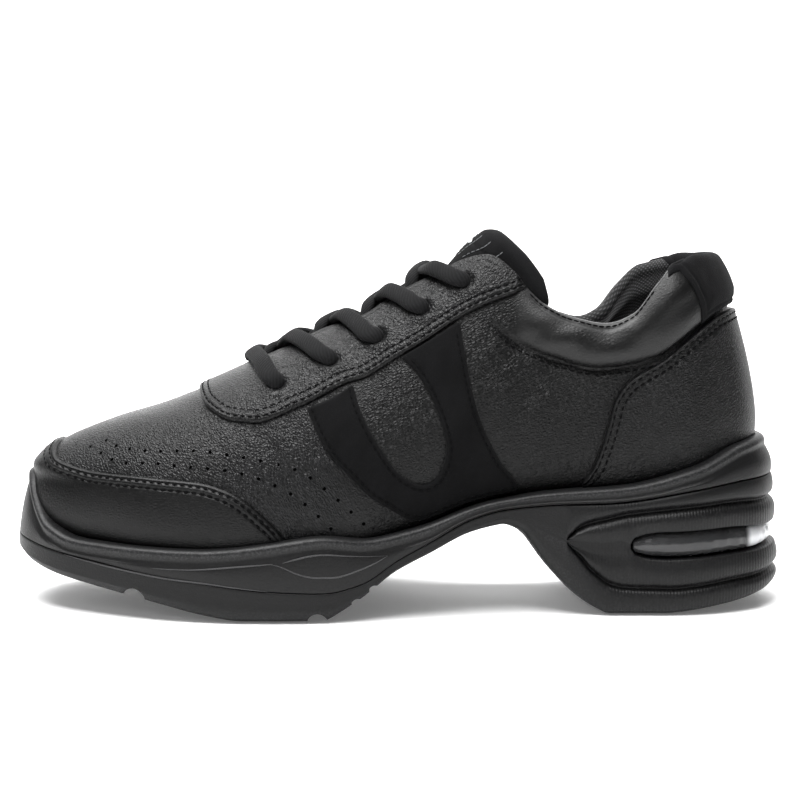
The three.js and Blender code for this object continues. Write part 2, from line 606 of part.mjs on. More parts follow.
// A point of the sole's wall, set off outwards from the outline.
function solePoint(side, share, off, z) {
  const { point, out } = outline(side, share);
  return new THREE.Vector3(point[0] + out[0] * off, point[1] + out[1] * off, z);
}

// Wall of the outsole at one station, tread edge up to the groove, then in to the joint.
function outsoleWall(side, share) {
  const under = undersideAt(share);
  const groove = grooveAt(share) - GAP / 2;
  const value = (column) => along(RIBS, column, share);
  const cut = RIB_GROOVE * value("cut");
  const bulge = RIB_BULGE * value("cut");
  const slot = SLOT_DEPTH * value("slot");
  const foot = Math.min(TREAD_EDGE, (groove - under) * EDGE_SHARE);
  const height = (t) => mix(under, groove, t);
  const lean = (z) => (-HEEL_LEAN * heelShare(share) * (z - under)) / (groove - under);
  const half = Math.min(RIB_HALF, (groove - under) * 0.04);
  const rows = [
    [-TREAD_INSET, under],
    [-0.25 * TREAD_INSET, under + 0.25 * foot],
    [0, under + foot],
  ];
  const groovedAt = (t) => rows.push([0, height(t) - half], [-cut, height(t)], [0, height(t) + half]);
  const bulgeAt = (a, b) => rows.push([bulge, mix(height(value(a)), height(value(b)), 0.5)]);
  groovedAt(value("low"));
  bulgeAt("low", "slotLow");
  rows.push([0, height(value("slotLow"))], [-slot, height(value("slotLow")) + 0.02]);
  rows.push([-slot, height(value("slotHigh")) - 0.02], [0, height(value("slotHigh"))]);
  bulgeAt("slotHigh", "high");
  groovedAt(value("high"));
  rows.push([bulge * 0.6, mix(height(value("high")), groove, 0.55)]);
  rows.push([-BEAD_GROOVE * value("cut"), groove]);
  const wall = rows.map(([off, z]) => solePoint(side, share, off + lean(z), z));
  wall.push(solePoint(side, share, -TREAD_INSET, bedAt(share) - BED_DROP - GAP / 2));
  return wall;
}

// Side view of a groove across the tread.
function lugGroove(share) {
  const x = toX(share);
  const floor = undersideAt(share);
  const shape = new THREE.Shape();
  shape.moveTo(x - LUG_GROOVE / 2, floor - CUT_BELOW);
  shape.lineTo(x + LUG_GROOVE / 2, floor - CUT_BELOW);
  shape.lineTo(x + LUG_GROOVE / 2, floor + LUG_DEPTH);
  shape.lineTo(x - LUG_GROOVE / 2, floor + LUG_DEPTH);
  return shape;
}

const notch = ({ x, size }) =>
  new THREE.Shape().absarc(toX(x), undersideAt(x), size * NOTCH_RADIUS, 0, Math.PI * 2);

// A side-view shape, drawn in x and z, pushed right across the shoe.
function cutAcross(shape) {
  const g = new THREE.ExtrudeGeometry(shape, { depth: CUT_ACROSS, bevelEnabled: false, curveSegments: 6 });
  return solidOfShape(g.rotateX(Math.PI / 2).translate(0, CUT_ACROSS / 2, 0));
}

function outsole() {
  let solid = ringSolid(SOLE_STATIONS, outsoleWall).solid();
  for (const shape of [...LUGS.map(lugGroove), ...NOTCHES.map(notch)]) {
    solid = solid.subtract(cutAcross(shape));
  }
  return geometryOf(mainPiece(solid));
}

// Wall of the midsole at one station, joint up to the rim.
function midsoleWall(side, share, lift = 0) {
  const groove = grooveAt(share) + GAP / 2;
  const rim = rimAt(share) + lift;
  const heel = heelShare(share);
  const base = -HEEL_LEAN * heel;
  const toe = clamp(1 - share / 0.05, 0, 1);
  const top = RIM_LEAN * heel + BUMPER_LEAN * toe;
  const lean = (z) => base - (top * Math.max(0, z - groove)) / Math.max(1, rim - groove);
  const bead = Math.min(BEAD, (rim - groove) * BEAD_SHARE);
  const rows = [
    [-BEAD_GROOVE * heel, groove],
    [WALL_BULGE, mix(groove, rim - 2 * bead, 0.5)],
    [-BEAD_GROOVE, rim - 2 * bead],
    [BEAD / 4, rim - bead],
    [-BEAD / 4, rim - bead * 0.3],
    [-bead, rim],
    [-TREAD_INSET * 1.6, rim],
  ];
  const wall = rows.map(([off, z]) => solePoint(side, share, off + lean(z), z));
  wall.unshift(solePoint(side, share, -TREAD_INSET, bedAt(share) - BED_DROP + GAP / 2));
  return wall;
}

// The whole last as one closed form, pushed out by some clearance.
function lastForm(by) {
  const wallAt = (side, share) =>
    LAST_ROWS.map((v, j) => {
      const p = lastOffset(side, share, v, j === 0 ? 0 : by);
      if (j === 0) p.z -= by;
      return p;
    });
  return ringSolid(LAST_STATIONS, wallAt).solid();
}

function midsole() {
  const block = ringSolid(SOLE_STATIONS, (side, share) => midsoleWall(side, share)).solid();
  return geometryOf(mainPiece(block.subtract(lastForm(GAP))));
}

// A piece sewn on the upper: cut clear of the upper's face and of the sole's rim.
function sewnOn(body) {
  const rim = ringSolid(SOLE_STATIONS, (side, share) => midsoleWall(side, share, 2 * GAP)).solid();
  return mainPiece(body.solid().subtract(lastForm(GAP)).subtract(rim));
}

// Clear tube that lies in the heel's slot, from one side round the back to the other.
function airTube() {
  const shares = SOLE_STATIONS.filter((s) => s > 0.805);
  const section = (side, share) => {
    const groove = grooveAt(share) - GAP / 2;
    const under = undersideAt(share);
    const low = mix(under, groove, along(RIBS, "slotLow", share)) + TUBE_CLEARANCE;
    const high = mix(under, groove, along(RIBS, "slotHigh", share)) - TUBE_CLEARANCE;
    const middle = (low + high) / 2;
    const lean = (-HEEL_LEAN * heelShare(share) * (middle - under)) / (groove - under);
    const half = (high - low) / 2;
    const depth = (SLOT_DEPTH - TUBE_SET_BACK - TUBE_CLEARANCE) / 2;
    return Array.from({ length: TUBE_SIDES }, (_, k) => {
      const turn = (k / TUBE_SIDES) * Math.PI * 2;
      const off = lean - TUBE_SET_BACK - depth + depth * Math.cos(turn);
      return solePoint(side, share, off, middle + half * Math.sin(turn));
    });
  };
  const medial = shares.slice(0, -1).reverse();
  const rings = [...shares.map((s) => section(LATERAL, s)), ...medial.map((s) => section(MEDIAL, s))];
  return tubeOf(rings).geometry();
}

// A closed tube through rings of points, with flat ends.
function tubeOf(rings) {
  const body = new Body();
  body.sheet(rings.map((ring) => [...ring, ring[0]]));
  body.face(...rings[0]);
  body.face(...[...rings[rings.length - 1]].reverse());
  return body;
}

function insole() {
  const wallAt = (side, share) => {
    const { middle, reach, to } = spoke(side, share);
    const inset = (along(LAST, "inset", share) + along(LAST, "tuck", share)) * BALL_WIDTH;
    const r = reach - inset - 2 * GAP;
    const low = bedAt(share) + GAP;
    const at = (by, z) => new THREE.Vector3(middle[0] + to[0] * (r - by), middle[1] + to[1] * (r - by), z);
    return [at(0, low), at(0, low + INSOLE_THICKNESS / 2), at(INSOLE_BEVEL, low + INSOLE_THICKNESS)];
  };
  return ringSolid(LAST_STATIONS, wallAt).geometry();
}

// A shell over part of the last: v from lower to upper at each station, between two distances from the face.
// Stations run from one end to the other; a station is a side and a share of the length.
function shellPatch(stations, lowerAt, upperAt, nearAt, farAt) {
  const grid = (by) =>
    stations.map(([side, share]) =>
      Array.from({ length: PATCH_STEPS + 1 }, (_, j) => {
        const t = j / PATCH_STEPS;
        const v = mix(lowerAt(side, share), upperAt(side, share), t);
        return lastOffset(side, share, v, by(side, share, t));
      }),
    );
  const near = grid(nearAt);
  const far = grid(farAt);
  return shellOf(near, far);
}

// Joins two grids of the same size into one closed shell; far is the outer one.
function shellOf(near, far) {
  const body = new Body();
  const n = near.length - 1;
  const m = near[0].length - 1;
  body.sheet(far);
  body.sheet(near, true);
  for (let i = 0; i < n; i += 1) {
    body.face(far[i][0], near[i][0], near[i + 1][0], far[i + 1][0]);
    body.face(near[i][m], far[i][m], far[i + 1][m], near[i + 1][m]);
  }
  for (let j = 0; j < m; j += 1) {
    body.face(far[0][j], far[0][j + 1], near[0][j + 1], near[0][j]);
    body.face(near[n][j], near[n][j + 1], far[n][j + 1], far[n][j]);
  }
  return body;
}

const fromToe = (stations) => [
  ...[...stations].reverse().map((s) => [LATERAL, s]),
  ...stations.slice(1).map((s) => [MEDIAL, s]),
];
const fromHeel = (stations) => [
  ...stations.map((s) => [LATERAL, s]),
  ...[...stations].reverse().slice(1).map((s) => [MEDIAL, s]),
];
const rimRow = (side, share) => rowAt(side, share, rimAt(share) - TUCK_UNDER);
const seamRow = (rows) => (side, share) =>
  Math.max(rimRow(side, share) + 0.004, rowAt(side, share, onLast(rows, share)));
const UNDER = () => -SINK;
const OVER = () => GAP + OVERLAY;

function toeCap() {
  const stations = [0, 0.006, 0.022, 0.048, 0.085, 0.13, 0.18, 0.228, 0.262, 0.3, 0.33, 0.358];
  return geometryOf(sewnOn(shellPatch(fromToe(stations), rimRow, seamRow(TOE_SEAM), UNDER, OVER)));
}

function heelCounter() {
  const stations = [0.737, 0.752, 0.766, 0.78, 0.8, 0.83, 0.86, 0.9, 0.94, 0.97, 0.992, 1];
  return geometryOf(sewnOn(shellPatch(fromHeel(stations), rimRow, seamRow(COUNTER_SEAM), UNDER, OVER)));
}

// Padded tab over the back of the collar, above the counter.
function heelTab() {
  const stations = [0.856, 0.877, 0.895, 0.908, 0.94, 0.97, 0.992, 1];
  const lower = (side, share) => {
    const seam = Math.max(onLast(COUNTER_SEAM, share) + 3 * GAP, onLast(TAB_EDGE, share));
    return Math.min(rowAt(side, share, seam), TAB_TOP - TAB_LEAST);
  };
  const far = (side, share, t) => {
    const depth = TAB_TOP - lower(side, share);
    return GAP + OVERLAY / 2 + TAB_PAD * Math.sqrt(clamp(3 * depth, 0, 1) * Math.max(0, Math.sin(Math.PI * t)));
  };
  return geometryOf(sewnOn(shellPatch(fromHeel(stations), lower, () => TAB_TOP, UNDER, far)));
}

// Lace facings, joined in front of the throat.
function eyestay() {
  const stations = [0.2285, 0.24, 0.262, 0.292, 0.322, 0.36, 0.41, 0.46, 0.52, 0.575, 0.615, 0.64, 0.658];
  const grid = (by) =>
    fromToe(stations).map(([side, share]) => {
      const start = rowAt(side, share, onLast(FACING_SEAM, share));
      return Array.from({ length: PATCH_STEPS + 1 }, (_, j) =>
        lastOffset(side, share, mix(start, 1, j / PATCH_STEPS), by),
      );
    });
  return punched(sewnOn(openShell(grid(UNDER()), grid(OVER()), fromToe(stations))));
}

// As shellOf, but where the ridge is closed the two sides meet and need no edge.
function openShell(near, far, stations) {
  const body = new Body();
  const n = near.length - 1;
  const m = near[0].length - 1;
  const closed = (i) => along(LAST, "edge", stations[i][1]) === 0;
  body.sheet(far);
  body.sheet(near, true);
  for (let i = 0; i < n; i += 1) {
    body.face(far[i][0], near[i][0], near[i + 1][0], far[i + 1][0]);
    if (!(closed(i) && closed(i + 1))) {
      body.face(near[i][m], far[i][m], far[i + 1][m], near[i + 1][m]);
    }
  }
  for (let j = 0; j < m; j += 1) {
    body.face(far[0][j], far[0][j + 1], near[0][j + 1], near[0][j]);
    body.face(near[n][j], near[n][j + 1], far[n][j + 1], far[n][j]);
  }
  return body;
}

function saddle(side) {
  const place = (x, z, by) => {
    const highest = onLast(FACING_SEAM, x) - 2 * GAP;
    const height = clamp(bedAt(x) + INSTEP_HEIGHT * z, rimAt(x) - TUCK_UNDER, highest);
    return lastOffset(side, x, rowAt(side, x, height), by);
  };
  const steps = 3;
  const grid = (by) =>
    SADDLE.map((row) =>
      Array.from({ length: steps + 1 }, (_, j) =>
        place(mix(row.x, row.insetX, j / steps), mix(row.z, row.insetZ, j / steps), by),
      ),
    );
  return geometryOf(sewnOn(shellOf(grid(UNDER()), grid(OVER()))));
}

// A hollow shell on the last between two distances from its face, open at the top and underneath.
// reach carries the shell on past the edge of the opening.
function upperBand(innerBy, outerBy, reach = 0) {
  const column = (side, share, by) => {
    const points = LAST_ROWS.map((v) => lastOffset(side, share, v, by));
    const [before, end] = points.slice(-2);
    if (along(LAST, "edge", share) > 0) end.addScaledVector(end.clone().sub(before).normalize(), reach);
    return points;
  };
  const grid = (by) => loop(LAST_STATIONS, (side, share) => column(side, share, by));
  const outer = grid(outerBy);
  const inner = grid(innerBy);
  const sides = loop(LAST_STATIONS, (side, share) => [side, share]);
  const body = new Body();
  const m = LAST_ROWS.length - 1;
  body.sheet(outer);
  body.sheet(inner, true);
  for (let i = 0; i + 1 < outer.length; i += 1) {
    body.face(outer[i][0], inner[i][0], inner[i + 1][0], outer[i + 1][0]);
    const closed = (k) => along(LAST, "edge", sides[k][1]) === 0;
    if (!(closed(i) && closed(i + 1))) {
      body.face(inner[i][m], outer[i][m], outer[i + 1][m], inner[i + 1][m]);
    }
  }
  return body.solid();
}

// The row on the face at which an eyelet lies.
function eyeletRow(side, share) {
  return rowAt(side, share, onLast(EYELETS, share));
}

// A short punch through the facing and the upper.
function eyeletPunch(side, share) {
  const v = eyeletRow(side, share);
  const at = lastPoint(side, share, v);
  const normal = lastNormal(side, share, v);
  const g = new THREE.CylinderGeometry(EYELET_RADIUS, EYELET_RADIUS, PUNCH_LENGTH, EYELET_SIDES);
  g.applyQuaternion(new THREE.Quaternion().setFromUnitVectors(new THREE.Vector3(0, 1, 0), normal));
  return solidOfShape(g.translate(at.x, at.y, at.z));
}

function punched(solid) {
  let made = solid;
  for (const { x } of EYELETS) {
    for (const side of [LATERAL, MEDIAL]) made = made.subtract(eyeletPunch(side, x));
  }
  return geometryOf(mainPiece(made));
}

// A point of the tongue: along its middle line, across from -1 to 1, and down from its outer face.
function tonguePoint(share, across, down) {
  const value = (column) => along(TONGUE, column, share);
  const tilt = value("tilt");
  const bend = value("bend") * BALL_WIDTH;
  const turn = (across * value("width") * BALL_WIDTH) / bend;
  const fall = bend * (1 - Math.cos(turn)) + down * Math.cos(turn);
  const y = BALL_WIDTH * along(MIDDLE, "y", share) + (bend - down) * Math.sin(turn);
  return new THREE.Vector3(
    toX(share) + Math.sin(tilt) * fall,
    y,
    bedAt(share) + INSTEP_HEIGHT * value("z") - Math.cos(tilt) * fall,
  );
}

function tongue() {
  const stations = [0.285, 0.34, 0.39, 0.44, 0.5, 0.54, 0.565, 0.58, 0.59, 0.6, 0.611, 0.622, 0.63, 0.632];
  const columns = [-1, -0.8, -0.42, 0, 0.42, 0.8, 1];
  const grid = (deep) =>
    stations.map((share) =>
      columns.map((c) => {
        const pad = TONGUE_PAD * along(TONGUE, "pad", share) * Math.sqrt(1 - 0.75 * c * c);
        return tonguePoint(share, c, deep ? TONGUE_THICKNESS + pad : 0);
      }),
    );
  const pad = shellOf(grid(true), grid(false)).solid();
  return geometryOf(mainPiece(pad.subtract(upperBand(-UPPER_WALL - GAP, OVERLAY + 2 * GAP, 2 * GAP))));
}

// Flat lace section swept along points, each with the direction of its flat face.
function laceStrand(points, normals) {
  const rings = points.map((p, i) => {
    const ahead = points[Math.min(i + 1, points.length - 1)].clone().sub(points[Math.max(i - 1, 0)]);
    const across = ahead.clone().cross(normals[i]).normalize();
    const up = across.clone().cross(ahead).normalize();
    return Array.from({ length: LACE_SIDES }, (_, k) => {
      const turn = ((k + 0.5) / LACE_SIDES) * Math.PI * 2;
      return p
        .clone()
        .addScaledVector(across, (LACE_WIDTH / 2) * Math.cos(turn))
        .addScaledVector(up, (LACE_THICKNESS / 2) * Math.sin(turn));
    });
  });
  return tubeOf(rings).solid();
}

// One strand from an eyelet over the throat to the other facing's edge, lower down.
function strandPath(side, share, farShare) {
  const lift = GAP + OVERLAY + 2 * GAP + LACE_THICKNESS / 2;
  const points = [];
  const normals = [];
  const start = eyeletRow(side, share);
  const add = (p, n) => {
    points.push(p);
    normals.push(n);
  };
  for (const t of [0, 0.34, 0.68, 1]) {
    const at = mix(share, mix(share, farShare, STRAND_LEAN), t);
    const v = mix(start, 1, t);
    const n = lastNormal(side, at, Math.min(v, 0.99));
    add(lastPoint(side, at, v).addScaledVector(n, lift), n);
  }
  const edge = points[points.length - 1];
  const far = lastPoint(-side, farShare, 1);
  const farN = lastNormal(-side, farShare, 0.99);
  const end = far.clone().addScaledVector(farN, lift - GAP / 2);
  const up = new THREE.Vector3(-0.45, 0, 0.89);
  const middle = edge.clone().lerp(end, 0.5);
  middle.z += LACE_RISE;
  const rises = [
    [edge, middle, LACE_RISE / 3],
    [middle, middle, 0],
    [middle, end, LACE_RISE / 5],
  ];
  for (const [from, to, rise] of rises) {
    const p = from.clone().lerp(to, 0.5);
    p.z += rise;
    add(p, up);
  }
  add(end, farN);
  return { points, normals };
}

function laceCrossing(row) {
  const share = EYELETS[row].x;
  const far = row === 0 ? share : mix(EYELETS[row - 1].x, share, STRAND_LANDING);
  if (row === 0) {
    const one = strandPath(LATERAL, share, share);
    const two = strandPath(MEDIAL, share, share);
    const points = [...one.points.slice(0, 6), ...two.points.slice(0, 5).reverse()];
    const normals = [...one.normals.slice(0, 6), ...two.normals.slice(0, 5).reverse()];
    return geometryOf(laceStrand(points, normals));
  }
  const strands = [LATERAL, MEDIAL].map((side) => {
    const { points, normals } = strandPath(side, share, far);
    return laceStrand(points, normals);
  });
  return geometryOf(mainPiece(strands[0].add(strands[1])));
}

const LEATHER = { color: 0x1c1c1d, roughness: 0.5, metalness: 0 };
const SUEDE = { color: 0x101011, roughness: 0.95, metalness: 0 };
const RUBBER = { color: 0x1a1a1b, roughness: 0.6, metalness: 0 };
const MESH = { color: 0x17171a, roughness: 0.9, metalness: 0 };
const CORD = { color: 0x141416, roughness: 0.85, metalness: 0 };
const CLEAR = { color: 0xd8dcdf, roughness: 0.1, metalness: 0, transparent: true, opacity: 0.4 };

const shoe = new THREE.Group();
const add = (name, geometry, finish) => {
  const mesh = new THREE.Mesh(geometry, new THREE.MeshStandardMaterial(finish));
  mesh.name = name;
  shoe.add(mesh);
};

add("outsole", outsole(), RUBBER);
add("midsole", midsole(), RUBBER);
add("air_tube", airTube(), CLEAR);
add("insole", insole(), MESH);
add("upper", punched(upperBand(-UPPER_WALL, 0)), LEATHER);
add("toe_cap", toeCap(), LEATHER);
add("eyestay", eyestay(), LEATHER);
add("saddle_lateral", saddle(LATERAL), SUEDE);
add("saddle_medial", saddle(MEDIAL), SUEDE);
add("heel_counter", heelCounter(), LEATHER);
add("heel_tab", heelTab(), SUEDE);
add("tongue", tongue(), MESH);
EYELETS.forEach((_, row) => add(`lace_${row + 1}`, laceCrossing(row), CORD));

// The origin lies under the middle of the box.
const box = new THREE.Box3().setFromObject(shoe, true);
shoe.position.set(-(box.min.x + box.max.x) / 2, -(box.min.y + box.max.y) / 2, -box.min.z);

export default shoe;
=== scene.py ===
"""Dresses the left dance shoe: leather, suede, laces, moulded sole and clear heel tube, on a pale floor.

Lengths are in millimetres until a mesh is made, and the frame is the CAD's: +Z up, the toe along -X and the
outer side of the foot towards -Y.
"""

from __future__ import annotations

import logging
import math
from dataclasses import dataclass
from enum import Enum

import bmesh
import bpy
import numpy as np
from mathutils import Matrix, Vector


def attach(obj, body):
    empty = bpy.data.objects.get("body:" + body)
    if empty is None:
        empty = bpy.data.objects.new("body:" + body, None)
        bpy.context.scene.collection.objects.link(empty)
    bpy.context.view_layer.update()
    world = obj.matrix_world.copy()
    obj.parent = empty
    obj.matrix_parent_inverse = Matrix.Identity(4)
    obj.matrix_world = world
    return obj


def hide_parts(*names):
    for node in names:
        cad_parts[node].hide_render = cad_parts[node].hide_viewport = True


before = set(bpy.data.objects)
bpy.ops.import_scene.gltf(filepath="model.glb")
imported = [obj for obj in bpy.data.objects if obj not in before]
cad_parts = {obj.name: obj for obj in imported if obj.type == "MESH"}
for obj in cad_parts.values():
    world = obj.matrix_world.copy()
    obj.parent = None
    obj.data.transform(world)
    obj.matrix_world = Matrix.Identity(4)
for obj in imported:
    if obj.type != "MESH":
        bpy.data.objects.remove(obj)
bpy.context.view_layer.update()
LOG = logging.getLogger("dance_shoe")
Array = np.ndarray
MM = 0.001

# The main sizes, as in the part's source.
LENGTH = 262.0
BALL_WIDTH = 94.0
SEAT_HEIGHT = 48.0
TOE_SPRING = 17.6
WAIST_THICKNESS = 7.2
INSTEP_HEIGHT = 89.0
COLLAR_HEIGHT = 72.3
RIM_HEIGHT = 11.5
UPPER_WALL = 2.0
OVERLAY = 1.3
COLLAR_PAD = 2.6
INSOLE_THICKNESS = 4.0
GAP = 0.35
JOINT = 0.06
PAD_SWELL = 1.7
BED_DROP = 2.6
GROOVE_DROP = 3.2
TREAD_INSET = 6.0
TREAD_EDGE = 3.4
RIB_GROOVE = 1.9
RIB_HALF = 1.5
RIB_BULGE = 0.7
HEEL_LEAN = 1.9
RIM_LEAN = 1.6
BUMPER_LEAN = 4.2
BEAD = 1.8
SLOT_DEPTH = 7.6
TUBE_CLEARANCE = 0.5
TUBE_SET_BACK = 1.3
LUG_DEPTH = 2.2
LUG_GROOVE = 3.0
NOTCH_RADIUS = 3.4
NOTCH_SIDES = 24
TONGUE_THICKNESS = 3.0
TONGUE_PAD = 10.0
LACE_WIDTH = 6.2
LACE_THICKNESS = 3.2
LACE_GIRTH = 15.0
BELLY_ROW = 0.22
SEAM_ROWS = (1.4, 3.4)
CREASE_LIP = 0.45
SEAM_DIP = 0.75
SEAM_DIP_WIDTH = 1.1
COLLAR_START = 0.63
SADDLE_SEAM = 1.6
SOLE_TUCK = 2.0


class Side(Enum):
    """The two sides of the foot; the value points along Y."""

    LATERAL = -1
    MEDIAL = 1

    @property
    def other(self) -> Side:
        """The opposite side."""
        return Side.MEDIAL if self is Side.LATERAL else Side.LATERAL


class Table:
    """Rows of named columns over the share of the length, read by a cubic that never overshoots them."""

    def __init__(self, columns: str, *rows: tuple[float, ...]) -> None:
        """Keeps each column with its slopes.

        Args:
            columns: the columns' names, of which the first is x.
            rows: one tuple of numbers for each row.
        """
        data = np.array(rows, float)
        self.x = data[:, 0]
        self.rows = {name: data[:, k] for k, name in enumerate(columns.split())}
        self.slopes = {name: self._slopes(values) for name, values in self.rows.items()}

    def _slopes(self, values: Array) -> Array:
        """Slope at each row: the harmonic mean of its neighbours', or 0 at a turn and at the ends.

        Args:
            values: one column.

        Returns:
            A slope for each row.
        """
        steps = np.diff(values) / np.diff(self.x)
        before, after = steps[:-1], steps[1:]
        total = np.where(before * after > 0, before + after, 1.0)
        inner = np.where(before * after > 0, 2 * before * after / total, 0.0)
        return np.concatenate([[0.0], inner, [0.0]])

    def at(self, column: str, x: Array | float) -> Array:
        """Values of a column at shares of the length.

        Args:
            column: its name.
            x: the shares.

        Returns:
            The values.
        """
        x = np.clip(np.asarray(x, float), self.x[0], self.x[-1])
        k = np.clip(np.searchsorted(self.x, x, side="right") - 1, 0, len(self.x) - 2)
        step = self.x[k + 1] - self.x[k]
        t = (x - self.x[k]) / step
        value, slope = self.rows[column], self.slopes[column]
        return (
            (2 * t**3 - 3 * t**2 + 1) * value[k]
            + (t**3 - 2 * t**2 + t) * step * slope[k]
            + (3 * t**2 - 2 * t**3) * value[k + 1]
            + (t**3 - t**2) * step * slope[k + 1]
        )


OUTLINE = Table(
    "x lateral medial",
    (0, -0.03, 0.03), (0.012, 0.117, 0.18), (0.046, 0.234, 0.298), (0.103, 0.34, 0.383),
    (0.172, 0.431, 0.447), (0.252, 0.484, 0.489), (0.336, 0.5, 0.5), (0.416, 0.484, 0.452),
    (0.5, 0.431, 0.367), (0.592, 0.383, 0.305), (0.691, 0.356, 0.298), (0.79, 0.362, 0.33),
    (0.882, 0.351, 0.34), (0.954, 0.261, 0.266), (0.989, 0.138, 0.149), (1, -0.005, 0.005),
)
BED = Table(
    "x seat groove rim",
    (0, 0.563, 0.95, 1.6), (0.012, 0.552, 0.95, 1.42), (0.026, 0.537, 0.95, 0.98), (0.05, 0.51, 1, 0.44),
    (0.085, 0.474, 1, 0.22), (0.12, 0.446, 1, 0.28), (0.172, 0.396, 1, 0.44), (0.252, 0.344, 1, 0.65),
    (0.336, 0.29, 1, 1.07), (0.405, 0.275, 1, 1.33), (0.45, 0.325, 1, 1.02), (0.5, 0.49, 1, 0.48),
    (0.54, 0.596, 0.9, 0.27), (0.592, 0.733, 0.75, 0.13), (0.63, 0.781, 0.6, 0.16),
    (0.691, 0.823, 0.75, 0.27), (0.79, 0.862, 1, 0.29), (0.882, 0.94, 1, 0.47), (0.954, 0.99, 0.95, 0.9),
    (1, 1, 0.95, 1),
)
UNDERSIDE = Table(
    "x toe waist",
    (0, 1, 0), (0.024, 0.83, 0), (0.055, 0.676, 0), (0.1, 0.54, 0), (0.143, 0.42, 0), (0.2, 0.25, 0),
    (0.248, 0.1, 0), (0.3, 0, 0), (0.405, 0, 0), (0.425, 0, 0.38), (0.444, 0, 0.72), (0.467, 0, 0.95),
    (0.49, 0, 1), (0.63, 0, 1), (0.648, 0, 0.94), (0.66, 0, 0.85), (0.669, 0, 0.74), (0.682, 0, 0.58),
    (0.702, 0, 0.377), (0.716, 0, 0.255), (0.734, 0, 0.135), (0.752, 0, 0.05), (0.768, 0, 0), (0.84, 0, 0),
    (0.88, 0.05, 0), (0.91, 0.11, 0), (0.94, 0.18, 0), (0.975, 0.29, 0), (1, 0.37, 0),
)
RIBS = Table(
    "x low slot_low slot_high high cut slot",
    (0, 0.42, 0.5, 0.6, 0.7, 0, 0), (0.7135, 0.566, 0.571, 0.581, 0.586, 0, 0),
    (0.715, 0.545, 0.568, 0.585, 0.605, 0.75, 0), (0.718, 0.52, 0.56, 0.595, 0.645, 1, 0),
    (0.7215, 0.5, 0.555, 0.6, 0.68, 1, 0), (0.727, 0.475, 0.55, 0.61, 0.735, 1, 0),
    (0.744, 0.365, 0.54, 0.63, 0.815, 1, 0), (0.786, 0.252, 0.55, 0.66, 0.883, 1, 0),
    (0.794, 0.248, 0.6, 0.63, 0.888, 1, 0), (0.8, 0.243, 0.54, 0.68, 0.889, 1, 1),
    (0.824, 0.235, 0.485, 0.707, 0.886, 1, 1), (0.865, 0.216, 0.455, 0.682, 0.87, 1, 1),
    (0.92, 0.21, 0.425, 0.65, 0.845, 1, 1), (1, 0.175, 0.385, 0.575, 0.797, 1, 1),
)
LAST = Table(
    "x inset tuck belly ridge top edge dome full",
    (0, 0.05, 0.04, 0.33, 0.27, 0.3, 0, 1, 0.62), (0.03, 0.05, 0.05, 0.31, 0.32, 0.35, 0, 1, 0.62),
    (0.069, 0.05, 0.06, 0.3, 0.383, 0.4, 0, 1, 0.66), (0.13, 0.05, 0.07, 0.3, 0.484, 0.5, 0, 1, 0.72),
    (0.2, 0.052, 0.08, 0.28, 0.584, 0.6, 0, 1, 0.8), (0.23, 0.054, 0.08, 0.27, 0.63, 0.65, 0, 1, 0.84),
    (0.292, 0.055, 0.08, 0.26, 0.735, 0.72, 0, 1, 0.9),
    (0.312, 0.056, 0.08, 0.26, 0.775, 0.75, 0.06, 1, 0.92),
    (0.355, 0.057, 0.08, 0.26, 0.848, 0.85, 0.098, 1, 0.95),
    (0.416, 0.048, 0.08, 0.26, 0.943, 0.95, 0.112, 1, 1),
    (0.477, 0.036, 0.08, 0.28, 0.965, 0.97, 0.122, 1, 1), (0.54, 0.03, 0.08, 0.3, 0.985, 0.99, 0.135, 1, 1),
    (0.592, 0.028, 0.075, 0.3, 1.015, 1.06, 0.155, 1, 1),
    (0.62, 0.03, 0.07, 0.3, 1.045, 1.16, 0.18, 0.85, 1),
    (0.648, 0.034, 0.07, 0.3, 1.04, 1.06, 0.213, 0.5, 1),
    (0.69, 0.042, 0.065, 0.32, 0.98, 0.9, 0.25, 0.12, 1),
    (0.73, 0.052, 0.06, 0.34, 0.98, 0.822, 0.268, 0, 1), (0.77, 0.06, 0.06, 0.34, 0.98, 0.79, 0.276, 0, 1),
    (0.8, 0.065, 0.06, 0.32, 0.98, 0.82, 0.276, 0, 1), (0.83, 0.07, 0.06, 0.3, 0.98, 0.93, 0.268, 0, 1),
    (0.86, 0.072, 0.06, 0.28, 0.98, 1.01, 0.255, 0, 1), (0.9, 0.074, 0.055, 0.26, 0.98, 1.02, 0.218, 0, 1),
    (0.954, 0.078, 0.05, 0.24, 0.98, 1, 0.178, 0, 1), (1, 0.08, 0.05, 0.22, 0.98, 1, 0.155, 0, 1),
)
MIDDLE = Table("x y", (0, 0.035), (0.3, 0.04), (0.42, 0.03), (0.58, 0.005), (0.72, -0.005), (1, 0.005))
TOE_SEAM = Table(
    "x z",
    (0, 0.318), (0.02, 0.305), (0.05, 0.285), (0.09, 0.282), (0.18, 0.312), (0.248, 0.322), (0.282, 0.307),
    (0.31, 0.27), (0.338, 0.207), (0.366, 0.13),
)
FACING_SEAM = Table(
    "x z",
    (0.228, 0.632), (0.25, 0.585), (0.28, 0.558), (0.314, 0.565), (0.373, 0.638), (0.437, 0.715),
    (0.501, 0.712), (0.553, 0.73), (0.586, 0.745), (0.62, 0.765), (0.648, 0.78), (0.664, 0.793),
)
COUNTER_SEAM = Table(
    "x z",
    (0.733, 0.05), (0.747, 0.092), (0.766, 0.238), (0.776, 0.345), (0.798, 0.42), (0.837, 0.468),
    (0.89, 0.545), (0.94, 0.59), (1, 0.605),
)
